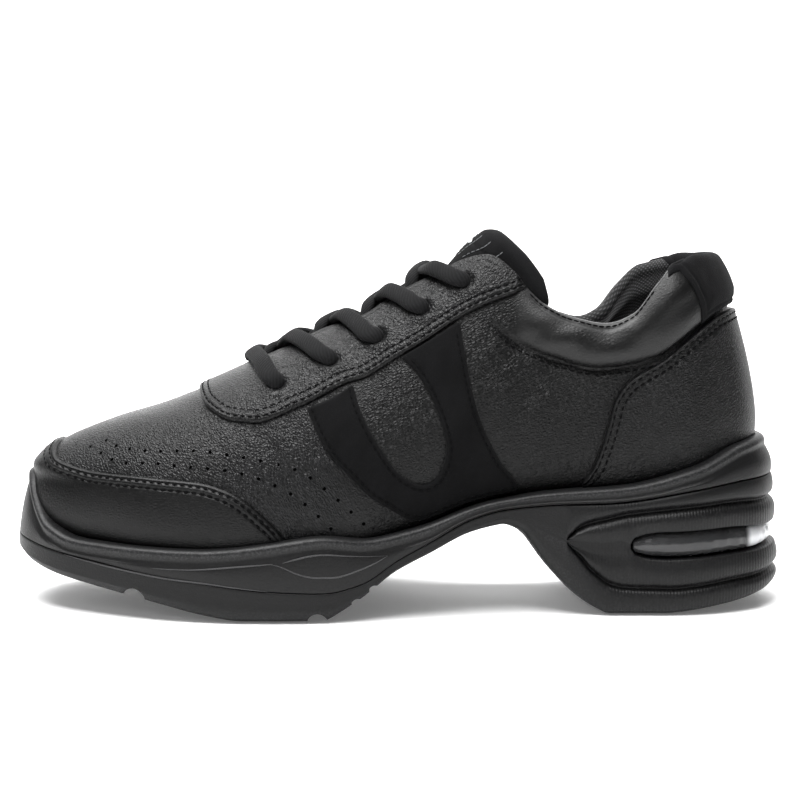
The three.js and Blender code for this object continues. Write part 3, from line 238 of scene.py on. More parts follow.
COLLAR_SEAM = Table(
    "x z",
    (0.585, 0.745), (0.656, 0.585), (0.708, 0.505), (0.76, 0.468), (0.824, 0.478), (0.89, 0.555),
    (0.94, 0.6), (1, 0.615),
)
SADDLE = (
    # x, z, inset x, inset z
    (0.381, 0.628, 0.44, 0.7), (0.405, 0.49, 0.45, 0.6), (0.438, 0.365, 0.472, 0.445),
    (0.478, 0.205, 0.494, 0.305), (0.515, 0.08, 0.512, 0.235), (0.56, 0.045, 0.528, 0.195),
    (0.61, 0.035, 0.545, 0.19), (0.652, 0.05, 0.556, 0.235), (0.628, 0.165, 0.558, 0.315),
    (0.604, 0.325, 0.545, 0.46), (0.59, 0.49, 0.525, 0.6), (0.577, 0.725, 0.503, 0.7),
)
EYELETS = Table("x z", (0.344, 0.703), (0.413, 0.8), (0.475, 0.824), (0.533, 0.836), (0.587, 0.86))
# Front edge of the heel tab, from the top of the collar down to the counter's seam.
TAB_EDGE = Table("x z", (0.849, 0.845), (0.877, 0.752), (0.895, 0.671), (0.902, 0.607), (0.908, 0.5))
TONGUE = Table(
    "x z tilt width bend pad",
    (0.285, 0.645, 0.45, 0.1, 0.28, 0), (0.34, 0.745, 0.47, 0.15, 0.24, 0),
    (0.42, 0.865, 0.48, 0.18, 0.22, 0), (0.5, 0.88, 0.48, 0.2, 0.21, 0.05),
    (0.545, 0.9, 0.5, 0.21, 0.2, 0.3), (0.572, 0.95, 0.66, 0.26, 0.185, 0.6),
    (0.59, 0.988, 0.76, 0.31, 0.188, 0.85), (0.605, 1.013, 0.8, 0.335, 0.192, 1),
    (0.62, 1.035, 0.8, 0.34, 0.195, 0.95), (0.632, 1.042, 0.78, 0.325, 0.195, 0.65),
)
# The two rows of pinholes and the lines moulded in the sole: shares of the length, heights in millimetres.
PINHOLES = (
    ((0.035, 58.5), (0.06, 56.5), (0.092, 54), (0.133, 51), (0.181, 51.2), (0.228, 50.4), (0.278, 49.6),
     (0.323, 46.9), (0.368, 41.2), (0.406, 32.6), (0.415, 30)),
    ((0.085, 59), (0.103, 57), (0.1355, 55.4), (0.183, 54.9), (0.232, 55.6), (0.273, 54.8), (0.33, 52.5),
     (0.375, 49.2), (0.419, 40.7), (0.458, 31)),
)
MOULD_LINES = (
    ((0.166, 17.9), (0.22, 17.7), (0.25, 18.0), (0.288, 18.9), (0.324, 19.7), (0.341, 20.1)),
    ((0.075, 19.7), (0.12, 17.6), (0.155, 16.2), (0.2, 14.6), (0.256, 13.3), (0.29, 12.2), (0.335, 10.9)),
    ((0.329, 20.0), (0.341, 19.8), (0.353, 18.9), (0.37, 16.9), (0.388, 15.6), (0.407, 15.3), (0.425, 15.6),
     (0.452, 17.8), (0.471, 19.9), (0.484, 21.8)),
    ((0.353, 20.4), (0.37, 21.6), (0.388, 22.6), (0.407, 22.9), (0.435, 22.3), (0.462, 21.9), (0.484, 21.9)),
)
TOE_FAN_END, TOE_FAN_CENTRE, TOE_FAN_POWER = 0.263, 0.13, 2
HEEL_FAN_END, HEEL_FAN_CENTRE, HEEL_FAN_POWER = 0.805, 0.863, 3.4
INNER_LEAD_START, INNER_LEAD_END, INNER_LEAD = 0.7, 0.9, 0.031
TOE_DRAW, TOE_DRAW_START, TOE_DRAW_RUN = 3.3, -84.0, 42.0
TOE_CORNER_DRAW, TOE_CORNER_Z, TOE_CORNER_RISE, TOE_CORNER_X, TOE_CORNER_RUN = 2.7, 43.0, 6.0, -100.0, 14.0
HEEL_DRAW, HEEL_DRAW_START, HEEL_DRAW_RUN, HEEL_DRAW_TOP, HEEL_DRAW_FADE = 1.5, 90.0, 34.0, 48.0, 10.0


def mix(a: Array | float, b: Array | float, t: Array | float) -> Array | float:
    """The value at t on the way from a to b."""
    return a + (b - a) * t


def smooth(t: Array | float) -> Array | float:
    """A soft step from 0 to 1."""
    t = np.clip(t, 0, 1)
    return t * t * (3 - 2 * t)


def to_x(share: Array | float) -> Array | float:
    """Place along the shoe for a share of the length."""
    return (share - 0.5) * LENGTH


def to_share(x: Array | float) -> Array | float:
    """Share of the length at a place along the shoe."""
    return x / LENGTH + 0.5


def bed_at(share: Array | float) -> Array:
    """Height of the bed of the sole."""
    return SEAT_HEIGHT * BED.at("seat", share)


def groove_at(share: Array | float) -> Array:
    """Height of the main groove along the side of the sole."""
    return bed_at(share) - GROOVE_DROP * BED.at("groove", share)


def rim_at(share: Array | float) -> Array:
    """Height of the sole's rim."""
    return bed_at(share) + RIM_HEIGHT * BED.at("rim", share)


def underside_at(share: Array | float) -> Array:
    """Height of the underside of the sole."""
    waist = UNDERSIDE.at("waist", share)
    return TOE_SPRING * UNDERSIDE.at("toe", share) + waist * (bed_at(share) - WAIST_THICKNESS)


def ridge_at(share: Array | float) -> Array:
    """Height of the upper along its middle."""
    return bed_at(share) + INSTEP_HEIGHT * LAST.at("ridge", share)


def seam_height(seam: Table, share: Array | float) -> Array:
    """Height of a seam on the upper."""
    return bed_at(share) + INSTEP_HEIGHT * seam.at("z", share)


def heel_share(share: Array | float) -> Array:
    """0 in front of the heel and 1 at its back."""
    return np.clip((share - 0.7) / 0.3, 0, 1)


def unit(vectors: Array) -> Array:
    """Vectors made 1 long."""
    return vectors / np.maximum(np.linalg.norm(vectors, axis=-1), 1e-9)[..., None]


def running(points: Array) -> Array:
    """Length along a line of points, from its start to each of them."""
    return np.concatenate([[0], np.cumsum(np.linalg.norm(np.diff(points, axis=0), axis=1))])


def stand(plan: Array, z: Array | float) -> Array:
    """Points from places in plan and their heights."""
    return np.concatenate([plan, np.broadcast_to(z, len(plan))[:, None]], axis=1)


def spline(rows: Array, k: Array, t: Array) -> Array:
    """Places between rows k + 1 and k + 2 on a smooth curve through all rows."""
    a, b, c, d = rows[k], rows[k + 1], rows[k + 2], rows[k + 3]
    return 0.5 * (2 * b + (c - a) * t + (2 * a - 5 * b + 4 * c - d) * t**2 + (3 * b - a - 3 * c + d) * t**3)


def resample(points: Array, count: int) -> Array:
    """A smooth curve through points, with evenly spaced samples.

    Args:
        points: the control points, one to a row.
        count: how many samples to return.

    Returns:
        The samples, one to a row.
    """
    padded = np.vstack([2 * points[0] - points[1], points, 2 * points[-1] - points[-2]])
    s = np.linspace(0, len(points) - 1 - 1e-9, 24 * len(points))
    k = s.astype(int)
    curve = spline(padded, k, (s - k)[:, None])
    run = running(curve)
    even = np.linspace(0, run[-1], count)
    return np.stack([np.interp(even, run, curve[:, i]) for i in range(curve.shape[1])], axis=1)


class Outline:
    """Plan outline of the sole, read by side and share of the length."""

    STEPS = 6000

    def __init__(self) -> None:
        """Samples both sides once."""
        self.samples = {side: self._sample(side) for side in Side}

    def _sample(self, side: Side) -> tuple[Array, Array, Array]:
        """Points, outward directions and running length of one side, toe tip to heel back.

        Args:
            side: the side of the foot.

        Returns:
            The three arrays, one row for each sample.
        """
        halves = {Side.LATERAL: OUTLINE.rows["lateral"], Side.MEDIAL: OUTLINE.rows["medial"]}
        near = np.stack([to_x(OUTLINE.x), side.value * halves[side] * BALL_WIDTH], axis=1)
        far = np.stack([to_x(OUTLINE.x), -side.value * halves[side.other] * BALL_WIDTH], axis=1)
        rows = np.vstack([far[1], near, far[-2]])
        s = np.linspace(0, len(near) - 1, self.STEPS)
        k = np.minimum(s.astype(int), len(near) - 2)
        t = (s - k)[:, None]
        a, b, c, d = rows[k], rows[k + 1], rows[k + 2], rows[k + 3]
        run = unit(0.5 * (c - a + 2 * (2 * a - 5 * b + 4 * c - d) * t + 3 * (3 * b - a - 3 * c + d) * t**2))
        out = np.stack([-side.value * run[:, 1], side.value * run[:, 0]], axis=1)
        points = spline(rows, k, t)
        return points, out, running(points)

    def at(self, side: Side, share: Array) -> tuple[Array, Array]:
        """Points and outward directions at shares of the length.

        Args:
            side: the side of the foot.
            share: shares of the length.

        Returns:
            Points and directions in plan.
        """
        points, out, _ = self.samples[side]
        x = to_x(np.clip(share, 0, 1))
        place = np.stack([np.interp(x, points[:, 0], points[:, i]) for i in range(2)], axis=-1)
        turn = np.stack([np.interp(x, points[:, 0], out[:, i]) for i in range(2)], axis=-1)
        return place, unit(turn)

    def arc(self, side: Side, share: Array) -> Array:
        """Length of the outline from the toe tip to a share of the shoe's length."""
        points, _, arc = self.samples[side]
        return np.interp(to_x(share), points[:, 0], arc)

    def share(self, side: Side, arc: Array) -> Array:
        """Share of the shoe's length at a length along the outline."""
        points, _, run = self.samples[side]
        return to_share(np.interp(arc, run, points[:, 0]))

    def even_shares(self, start: float, end: float, count: int) -> Array:
        """Shares between two ends, evenly spaced along the outline."""
        arcs = np.linspace(self.arc(Side.LATERAL, start), self.arc(Side.LATERAL, end), count)
        return self.share(Side.LATERAL, arcs)


PLAN = Outline()


class Last:
    """The upper's outer face as a function of side, share of the length and row, from bed to edge."""

    STEP = 0.003

    @staticmethod
    def spoke(side: Side, share: Array) -> tuple[Array, Array, Array]:
        """Start on the middle line, length and direction of the spokes that run out to the sole's outline.

        Args:
            side: the side of the foot.
            share: shares of the length.

        Returns:
            The three arrays.
        """
        point, _ = PLAN.at(side, share)
        toe = mix(TOE_FAN_CENTRE, TOE_FAN_END, (share / TOE_FAN_END) ** TOE_FAN_POWER)
        back = np.clip((1 - share) / (1 - HEEL_FAN_END), 0, 1) ** HEEL_FAN_POWER
        heel = mix(HEEL_FAN_CENTRE, HEEL_FAN_END, back)
        centre = np.where(share < TOE_FAN_END, toe, np.where(share > HEEL_FAN_END, heel, share))
        middle = np.stack([to_x(centre), BALL_WIDTH * MIDDLE.at("y", centre)], axis=-1)
        return middle, np.linalg.norm(point - middle, axis=-1), unit(point - middle)

    @staticmethod
    def collar_top(side: Side, share: Array) -> Array:
        """Height of the collar above the bed; the inner side's rises sooner."""
        turn = np.clip((share - INNER_LEAD_START) / (INNER_LEAD_END - INNER_LEAD_START), 0, 1)
        lead = INNER_LEAD * np.sin(math.pi * turn) if side is Side.MEDIAL else 0.0
        return COLLAR_HEIGHT * LAST.at("top", share + lead)

    @classmethod
    def point(cls, side: Side, share: Array, v: Array) -> Array:
        """Points of the outer face.

        Args:
            side: the side of the foot.
            share: shares of the length.
            v: rows, 0 at the bed and 1 at the ridge or the edge of the opening.

        Returns:
            Points in millimetres, with the broadcast shape of share and v.
        """
        share, v = np.broadcast_arrays(np.asarray(share, float), np.asarray(v, float))
        middle, reach, to = cls.spoke(side, share)
        bed = bed_at(share) + GAP
        belly = reach - LAST.at("inset", share) * BALL_WIDTH
        feather = belly - LAST.at("tuck", share) * BALL_WIDTH
        edge = LAST.at("edge", share) * BALL_WIDTH
        dome, full = LAST.at("dome", share), LAST.at("full", share)
        wall_top = bed + cls.collar_top(side, share)
        belly_z = mix(bed, mix(wall_top, ridge_at(share), dome), LAST.at("belly", share))
        turn = np.clip(v / BELLY_ROW, 0, 1) * math.pi / 2
        low_r = mix(feather, belly, np.sin(turn))
        low_z = mix(bed, belly_z, 1 - np.cos(turn))
        t = np.clip((v - BELLY_ROW) / (1 - BELLY_ROW), 0, 1)
        end = np.arccos(np.clip(edge / belly, 0, 1) ** (1 / full))
        dome_r = belly * np.clip(np.cos(t * end), 0, 1) ** full
        dome_z = mix(belly_z, ridge_at(to_share(middle[..., 0] + to[..., 0] * dome_r)), np.sin(t * end))
        high_r = mix(mix(belly, edge, t**1.5), dome_r, dome)
        high_z = mix(mix(belly_z, wall_top, t), dome_z, dome)
        seam = seam_height(COLLAR_SEAM, share)
        rise = np.clip((high_z - seam) / np.maximum(1, wall_top - seam), 0, 1)
        high_r = high_r + (1 - dome) * COLLAR_PAD * np.sin(math.pi * rise) ** 0.8
        low = v < BELLY_ROW
        r, z = np.where(low, low_r, high_r), np.where(low, low_z, high_z)
        return np.concatenate([middle + to * r[..., None], z[..., None]], axis=-1)

    @classmethod
    def normal(cls, side: Side, share: Array, v: Array) -> Array:
        """Outward directions of the face.

        Args:
            side: the side of the foot.
            share: shares of the length.
            v: rows, as for the points.

        Returns:
            Directions 1 long.
        """
        share, v = np.broadcast_arrays(np.asarray(share, float), np.asarray(v, float))
        e = cls.STEP
        up = cls.point(side, share, np.minimum(1, v + e)) - cls.point(side, share, np.maximum(0, v - e))
        ends = []
        for at in (share - e, share + e):
            inside = np.minimum(np.abs(at), 2 - at)
            past = ((at < 0) | (at > 1))[..., None]
            ends.append(np.where(past, cls.point(side.other, inside, v), cls.point(side, inside, v)))
        n = -side.value * np.cross(ends[1] - ends[0], up)
        at = to_share(cls.spoke(side, share)[0][..., 0])
        slope = (ridge_at(at + e) - ridge_at(at - e)) / (2 * e * LENGTH)
        flat = np.stack([-slope, np.zeros_like(slope), np.ones_like(slope)], axis=-1)
        on_ridge = (v > 0.999) & (LAST.at("edge", share) == 0)
        return unit(np.where(on_ridge[..., None], flat, n))

    @classmethod
    def offset(cls, side: Side, share: Array, v: Array, by: Array | float) -> Array:
        """Points pushed out from the face."""
        return cls.point(side, share, v) + cls.normal(side, share, v) * np.asarray(by)[..., None]

    @classmethod
    def row_at(cls, side: Side, share: Array, z: Array) -> Array:
        """Rows at which the face reaches a height.

        Args:
            side: the side of the foot.
            share: shares of the length.
            z: heights in millimetres.

        Returns:
            The rows.
        """
        share, z = np.broadcast_arrays(np.asarray(share, float), np.asarray(z, float))
        low, high = np.zeros(share.shape), np.ones(share.shape)
        for _ in range(24):
            middle = (low + high) / 2
            under = cls.point(side, share, middle)[..., 2] < z
            low, high = np.where(under, middle, low), np.where(under, high, middle)
        return (low + high) / 2


def drawn_out(points: Array) -> Array:
    """The toe and the heel's ribs drawn out a little past the solids', as the photograph shows them.

    Args:
        points: points in millimetres.

    Returns:
        The moved points.
    """
    x, z = points[..., 0], points[..., 2]
    toe = TOE_DRAW * smooth((TOE_DRAW_START - x) / TOE_DRAW_RUN)
    high, front = smooth((z - TOE_CORNER_Z) / TOE_CORNER_RISE), smooth((TOE_CORNER_X - x) / TOE_CORNER_RUN)
    toe = toe + TOE_CORNER_DRAW * high * front
    low = 1 - smooth((z - HEEL_DRAW_TOP) / HEEL_DRAW_FADE)
    heel = HEEL_DRAW * smooth((x - HEEL_DRAW_START) / HEEL_DRAW_RUN) * low
    moved = points.copy()
    moved[..., 0] = x - toe + heel
    return moved


@dataclass(frozen=True)
class Crease:
    """A soft trough in the leather; places are shares of the length and of the instep's height."""

    side: Side
    x: float
    z: float
    angle: float
    length: float
    width: float
    depth: float


CREASES = tuple(
    Crease(side, x, z, angle, length, width, depth)
    for side in Side
    for x, z, angle, length, width, depth in (
        (0.262, 0.47, 118, 15, 2.6, 0.34), (0.285, 0.44, 122, 17, 2.2, 0.3),
        (0.306, 0.46, 124, 15, 2.4, 0.34), (0.328, 0.5, 126, 13, 2.0, 0.26),
        (0.345, 0.42, 122, 14, 2.6, 0.3), (0.238, 0.5, 112, 11, 2.0, 0.2),
        (0.365, 0.56, 128, 10, 1.8, 0.22), (0.42, 0.3, 116, 10, 2.6, 0.24),
        (0.395, 0.36, 120, 12, 2.2, 0.24), (0.675, 0.42, 52, 16, 3.4, 0.3),
        (0.7, 0.33, 60, 14, 3.0, 0.26), (0.655, 0.3, 75, 12, 3.0, 0.22),
        (0.64, 0.55, 40, 12, 2.6, 0.3), (0.735, 0.56, 20, 14, 3.4, 0.34),
        (0.79, 0.57, 165, 12, 3.0, 0.28), (0.85, 0.63, 35, 12, 3.2, 0.34),
        (0.88, 0.7, 40, 9, 2.4, 0.3), (0.69, 0.62, 22, 10, 2.6, 0.28),
    )
)


def relief(side: Side, share: Array, points: Array) -> Array:
    """Height of the leather's creases and of the collar's seam at points of the face.

    Args:
        side: the side of the foot.
        share: shares of the length.
        points: the face's points.

    Returns:
        Heights in millimetres, below 0 in a trough.
    """
    rise = np.zeros(points.shape[:-1])
    for crease in (c for c in CREASES if c.side is side):
        dx = points[..., 0] - to_x(crease.x)
        dz = points[..., 2] - (bed_at(crease.x) + INSTEP_HEIGHT * crease.z)
        turn = math.radians(crease.angle)
        along = dx * math.cos(turn) + dz * math.sin(turn)
        across = -dx * math.sin(turn) + dz * math.cos(turn) + 0.04 * along**2 / crease.length
        reach = np.exp(-((along / crease.length) ** 4))
        trough = np.exp(-((across / crease.width) ** 2))
        ridge = CREASE_LIP * np.exp(-(((np.abs(across) - 2 * crease.width) / crease.width) ** 2))
        rise += crease.depth * reach * (ridge - trough)
    seam = points[..., 2] - seam_height(COLLAR_SEAM, share)
    rise -= SEAM_DIP * smooth((share - 0.6) / 0.03) * np.exp(-((seam / SEAM_DIP_WIDTH) ** 2))
    top = Last.point(side, share, np.ones(np.shape(share)))[..., 2]
    up = np.clip(seam / np.maximum(top - seam_height(COLLAR_SEAM, share), 4), 0, 1)
    padded = smooth((share - COLLAR_START) / 0.07) * (1 - smooth((share - 0.87) / 0.05))
    return rise + PAD_SWELL * padded * np.sin(math.pi * up**0.85)


class Skin:
    """One closed mesh of sheets of quads, with three values at every corner for the finish to read."""

    def __init__(self) -> None:
        """Starts with nothing."""
        self.points: list[Array] = []
        self.values: list[Array] = []
        self.quads: list[Array] = []
        self.count = 0

    def sheet(self, grid: Array, *values: Array | float) -> None:
        """Adds a sheet of quads.

        Args:
            grid: points, rows by columns by 3, in millimetres.
            values: up to three numbers kept at each point.
        """
        rows, columns = grid.shape[:2]
        index = np.arange(rows * columns).reshape(rows, columns) + self.count
        corners = [index[:-1, :-1], index[1:, :-1], index[1:, 1:], index[:-1, 1:]]
        self.quads.append(np.stack(corners, axis=-1).reshape(-1, 4))
        self.points.append(grid.reshape(-1, 3))
        kept = np.zeros((rows, columns, 3))
        for k, value in enumerate(values):
            kept[..., k] = value
        self.values.append(kept.reshape(-1, 3))
        self.count += rows * columns

    def wrap(self, near: Array, far: Array, *values: Array | float) -> None:
        """Adds two sheets of the same size and joins them round their edges.

        Args:
            near: the inner sheet.
            far: the outer sheet.
            values: up to three numbers kept at each point.
        """
        kept = [np.broadcast_to(value, far.shape[:2]) for value in values]
        self.sheet(far, *kept)
        self.sheet(near, *kept)
        for pick in (np.s_[0], np.s_[-1], np.s_[:, 0], np.s_[:, -1]):
            self.sheet(np.stack([near[pick], far[pick]]), *(np.stack([k[pick], k[pick]]) for k in kept))

    def caps(self, grid: Array) -> None:
        """Closes the two ends of a tube, given as rings of points."""
        for end in (grid[0], grid[-1]):
            self.sheet(np.stack([end, np.broadcast_to(end[:-1].mean(axis=0), end.shape)]))

    def build(self, name: str) -> bpy.types.Object:
        """Makes the mesh object, in metres, with doubles merged and faces outwards.

        Args:
            name: its name.

        Returns:
            The object.
        """
        mesh = bpy.data.meshes.new(name)
        points = drawn_out(np.concatenate(self.points)) * MM
        mesh.from_pydata(points.tolist(), [], np.concatenate(self.quads).tolist())
        layer = mesh.attributes.new("mark", "FLOAT_VECTOR", "POINT")
        layer.data.foreach_set("vector", np.concatenate(self.values).astype(np.float32).reshape(-1))
        tidy(mesh)
        return placed(name, mesh)


def placed(name: str, data: bpy.types.ID) -> bpy.types.Object:
    """A new object in the scene's collection."""
    obj = bpy.data.objects.new(name, data)
    bpy.context.collection.objects.link(obj)
    return obj


def evaluated(obj: bpy.types.Object) -> bpy.types.Mesh:
    """The mesh of an object with its modifiers carried out."""
    graph = bpy.context.evaluated_depsgraph_get()
    return bpy.data.meshes.new_from_object(obj.evaluated_get(graph))


def tidy(mesh: bpy.types.Mesh, merge: float = 4e-6) -> None:
    """Merges doubles, drops empty faces, turns faces outwards and shades them smooth.

    Args:
        mesh: the mesh to mend.
        merge: the distance within which points are one, in metres.
    """
    work = bmesh.new()
    work.from_mesh(mesh)
    bmesh.ops.remove_doubles(work, verts=work.verts, dist=merge)
    bmesh.ops.dissolve_degenerate(work, edges=work.edges, dist=merge / 4)
    bmesh.ops.recalc_face_normals(work, faces=work.faces)
    for face in work.faces:
        face.smooth = True
    work.to_mesh(mesh)
    work.free()


class Socket:
    """A shader value that takes part in Python arithmetic, adding its Math nodes."""

    def __init__(self, shader: Shader, link: bpy.types.NodeSocket) -> None:
        """Wraps an output of a node in that shader."""
        self.shader = shader
        self.link = link

    def _math(self, operation: str, *values: Socket | float) -> Socket:
        """One Math node."""
        return self.shader.node("ShaderNodeMath", {"operation": operation}, dict(enumerate(values)))

    def __add__(self, other: Socket | float) -> Socket:
        """Sum."""
        return self._math("ADD", self, other)

    def __radd__(self, other: float) -> Socket:
        """Sum, from the right."""
        return self._math("ADD", other, self)

    def __sub__(self, other: Socket | float) -> Socket:
        """Difference."""
        return self._math("SUBTRACT", self, other)

    def __rsub__(self, other: float) -> Socket:
        """Difference, from the right."""
        return self._math("SUBTRACT", other, self)

    def __mul__(self, other: Socket | float) -> Socket:
        """Product."""
        return self._math("MULTIPLY", self, other)

    def __rmul__(self, other: float) -> Socket:
        """Product, from the right."""
        return self._math("MULTIPLY", other, self)

    def sine(self) -> Socket:
        """Sine of an angle."""
        return self._math("SINE", self)

    def clamp(self) -> Socket:
        """Limited to 0 and 1."""
        return self.shader.node("ShaderNodeClamp", {}, {"Value": self})


class Shader:
    """A material under construction: one principled surface and whatever feeds it."""

    def __init__(self, name: str) -> None:
        """Starts an empty material with its surface and output.

        Args:
            name: the material's name.
        """
        self.material = bpy.data.materials.new(name)
        self.material.use_nodes = True
        self.tree = self.material.node_tree
        self.surface = next(n for n in self.tree.nodes if n.type == "BSDF_PRINCIPLED")

    def node(self, kind: str, settings: dict[str, object], inputs: dict, out: int | str = 0) -> Socket:
        """Adds a node.

        Args:
            kind: the node's type.
            settings: its own properties, set first.
            inputs: what feeds its inputs, by name or place.
            out: which output to return.

        Returns:
            The chosen output.
        """
        made = self.tree.nodes.new(kind)
        for key, value in settings.items():
            setattr(made, key, value)
        for key, value in inputs.items():
            if isinstance(value, Socket):
                self.tree.links.new(value.link, made.inputs[key])
            else:
                made.inputs[key].default_value = value
        return Socket(self, made.outputs[out])

    def place(self, turn: float = 0.0, stretch: float = 1.0) -> Socket:
        """The object's own coordinates in metres, with patterns drawn out along a direction of the side view.

        Args:
            turn: the direction, in degrees up from the heel's.
            stretch: how far patterns are drawn out.

        Returns:
            The coordinates.
        """
        own = self.node("ShaderNodeTexCoord", {}, {}, "Object")
        inputs = {"Vector": own, "Rotation": (0, -math.radians(turn), 0), "Scale": (stretch, 1, 1)}
        return self.node("ShaderNodeMapping", {"vector_type": "TEXTURE"}, inputs)

    def warp(self, at: Socket, scale: float, by: float) -> Socket:
        """Coordinates pushed about by noise; by is the distance in millimetres."""
        push = self.node("ShaderNodeTexNoise", {}, {"Vector": at, "Scale": scale, "Detail": 1.0}, 1)
        move = (by * MM,) * 3
        return self.node("ShaderNodeVectorMath", {"operation": "MULTIPLY_ADD"}, {0: push, 1: move, 2: at})

    def noise(self, at: Socket, scale: float, detail: float = 3.0) -> Socket:
        """A noise texture's value."""
        return self.node("ShaderNodeTexNoise", {}, {"Vector": at, "Scale": scale, "Detail": detail})

    def cells(self, at: Socket, scale: float, feature: str = "DISTANCE_TO_EDGE", random: float = 1) -> Socket:
        """A Voronoi texture's distance.

        Args:
            at: the coordinates.
            scale: cells in a metre, or in a unit of the coordinates.
            feature: which distance is measured.
            random: 0 for a grid and 1 for scattered cells.

        Returns:
            The distance.
        """
        inputs = {"Vector": at, "Scale": scale, "Randomness": random}
        return self.node("ShaderNodeTexVoronoi", {"feature": feature}, inputs, "Distance")

    def marks(self) -> Socket:
        """The three numbers kept at the mesh's points."""
        return self.node("ShaderNodeAttribute", {"attribute_name": "mark"}, {}, "Vector")

    def mark(self, which: int) -> Socket:
        """One of the numbers kept at the mesh's points."""
        return self.node("ShaderNodeSeparateXYZ", {}, {0: self.marks()}, which)

    def blend(self, factor: Socket, low: tuple, high: tuple) -> Socket:
        """A colour between two colours."""
        return self.node("ShaderNodeMix", {"data_type": "RGBA"}, {0: factor, 6: (*low, 1), 7: (*high, 1)}, 2)

    def bump(self, height: Socket, depth: float, strength: float = 1.0) -> Socket:
        """A bump; depth is the real depth in millimetres."""
        inputs = {"Height": height, "Distance": depth * MM, "Strength": strength}
        return self.node("ShaderNodeBump", {}, inputs)

    def dress(self, **inputs: Socket | float | tuple) -> bpy.types.Material:
        """Feeds the surface's sockets, named with underscores for spaces, and returns the material."""
        for key, value in inputs.items():
            place = self.surface.inputs[key.replace("_", " ")]
            if isinstance(value, Socket):
                self.tree.links.new(value.link, place)
            else:
                place.default_value = value
        return self.material


def lighter(colour: tuple[float, float, float], by: float) -> tuple[float, ...]:
    """A colour made lighter or darker by a factor."""
    return tuple(c * by for c in colour)


@dataclass(frozen=True)
class Leather:
    """Black full-grain leather: rounded pebbles drawn out along a direction, with wavy ripples over them; the
    raised grain is coloured lighter as painted glints and its hollows darker as painted shade.

    The mark's first number turns the grain from its first direction to its second, and the second number
    calms it, as on the padded collar.
    """

    name: str
    turn: float
    second_turn: float
    colour: tuple[float, float, float] = (0.0042, 0.0042, 0.0045)
    roughness: float = 0.42
    grain: float = 0.17
    ripple: float = 0.38
    second_ripple: float = 0.12

    def grain_field(self, shader: Shader, turn: float, ripple: float) -> Socket:
        """Height of the grain for one direction, in millimetres.

        Args:
            shader: the material.
            turn: the direction in degrees.
            ripple: height of the ripples.

        Returns:
            The height.
        """
        pebble = (shader.cells(shader.warp(shader.place(turn, 1.5), 600, 0.8), 1150) * 2.2).clamp()
        wave = shader.noise(shader.warp(shader.place(turn, 2.8), 190, 2.0), 1150, 2)
        strong = (shader.noise(shader.place(), 40, 2) * 3.0 - 0.8).clamp()
        return pebble * self.grain + wave * (0.5 + 0.5 * strong) * ripple

    def material(self) -> bpy.types.Material:
        """Builds the finish."""
        shader = Shader(self.name)
        height = self.grain_field(shader, self.turn, self.ripple)
        if self.second_turn != self.turn:
            second = self.grain_field(shader, self.second_turn, self.second_ripple)
            height = height + (second - height) * shader.mark(0)
        fine = shader.noise(shader.place(), 2900, 2)
        height = (height + fine * 0.03) * (1 - 0.72 * shader.mark(1))
        # Colour follows the grain's height: raised pebbles lighter as painted glints, hollows darker as
        # painted shade.
        raised = (height * 5.0 - 0.75).clamp()
        return shader.dress(
            Base_Color=shader.blend(raised, lighter(self.colour, 0.3), lighter(self.colour, 2.2)),
            Roughness=self.roughness + 0.2 * (fine - 0.5) - 0.12 * raised,
            Specular_IOR_Level=0.24,
            Coat_Weight=0.5 * (shader.mark(1) * 2 - 1).clamp(),
            Coat_Roughness=0.36,
            Normal=shader.bump(height, 1.0),
        )


@dataclass(frozen=True)
class Suede:
    """Matte black suede or brushed cloth with a short nap."""

    name: str
    colour: tuple[float, float, float] = (0.0026, 0.0026, 0.0028)
    nap: float = 0.12

    def material(self) -> bpy.types.Material:
        """Builds the finish."""
        shader = Shader(self.name)
        fibre = shader.noise(shader.place(), 3400, 3)
        brushed = (shader.noise(shader.warp(shader.place(70, 2.2), 60, 4), 130, 3) * 1.8 - 0.4).clamp()
        return shader.dress(
            Base_Color=shader.blend(brushed * fibre, self.colour, lighter(self.colour, 3.2)),
            Roughness=0.97,
            Specular_IOR_Level=0.1,
            Sheen_Weight=0.02,
            Sheen_Roughness=0.5,
            Normal=shader.bump(fibre, self.nap),
        )


@dataclass(frozen=True)
class Rubber:
    """Matte moulded rubber; its raised edges are rubbed a little paler, and the midsole's rim bead is made
    paler as a painted highlight.

    The mark's first number says how much wear and painted highlight each place gets, and the second where a
    fine hatch is moulded in.
    """

    name: str = "moulded_rubber"
    colour: tuple[float, float, float] = (0.0024, 0.0024, 0.0026)
    # Paler colour for wear, and for a painted highlight along the midsole's rim bead.
    wear_and_highlight: tuple[float, float, float] = (0.026, 0.026, 0.027)
    roughness: float = 0.48

    def material(self) -> bpy.types.Material:
        """Builds the finish."""
        shader = Shader(self.name)
        texture = shader.noise(shader.place(), 1700, 3)
        speckle = (shader.noise(shader.place(), 1500, 2) * 5 - 2.2).clamp()
        # Paler where the mark's first number is high: real wear, plus a painted highlight on the midsole's
        # rim bead.
        worn = (shader.mark(0) * (0.25 + speckle)).clamp()
        own = shader.node("ShaderNodeSeparateXYZ", {}, {0: shader.place()})
        hatch = (own * (2 * math.pi / (1.1 * MM))).sine() * shader.mark(1)
        return shader.dress(
            Base_Color=shader.blend(worn, self.colour, self.wear_and_highlight),
            Roughness=self.roughness + 0.2 * (texture - 0.5) - worn * 0.06,
            Specular_IOR_Level=0.27,
            Normal=shader.bump(texture * 0.12 + hatch * 0.03, 1.0),
        )


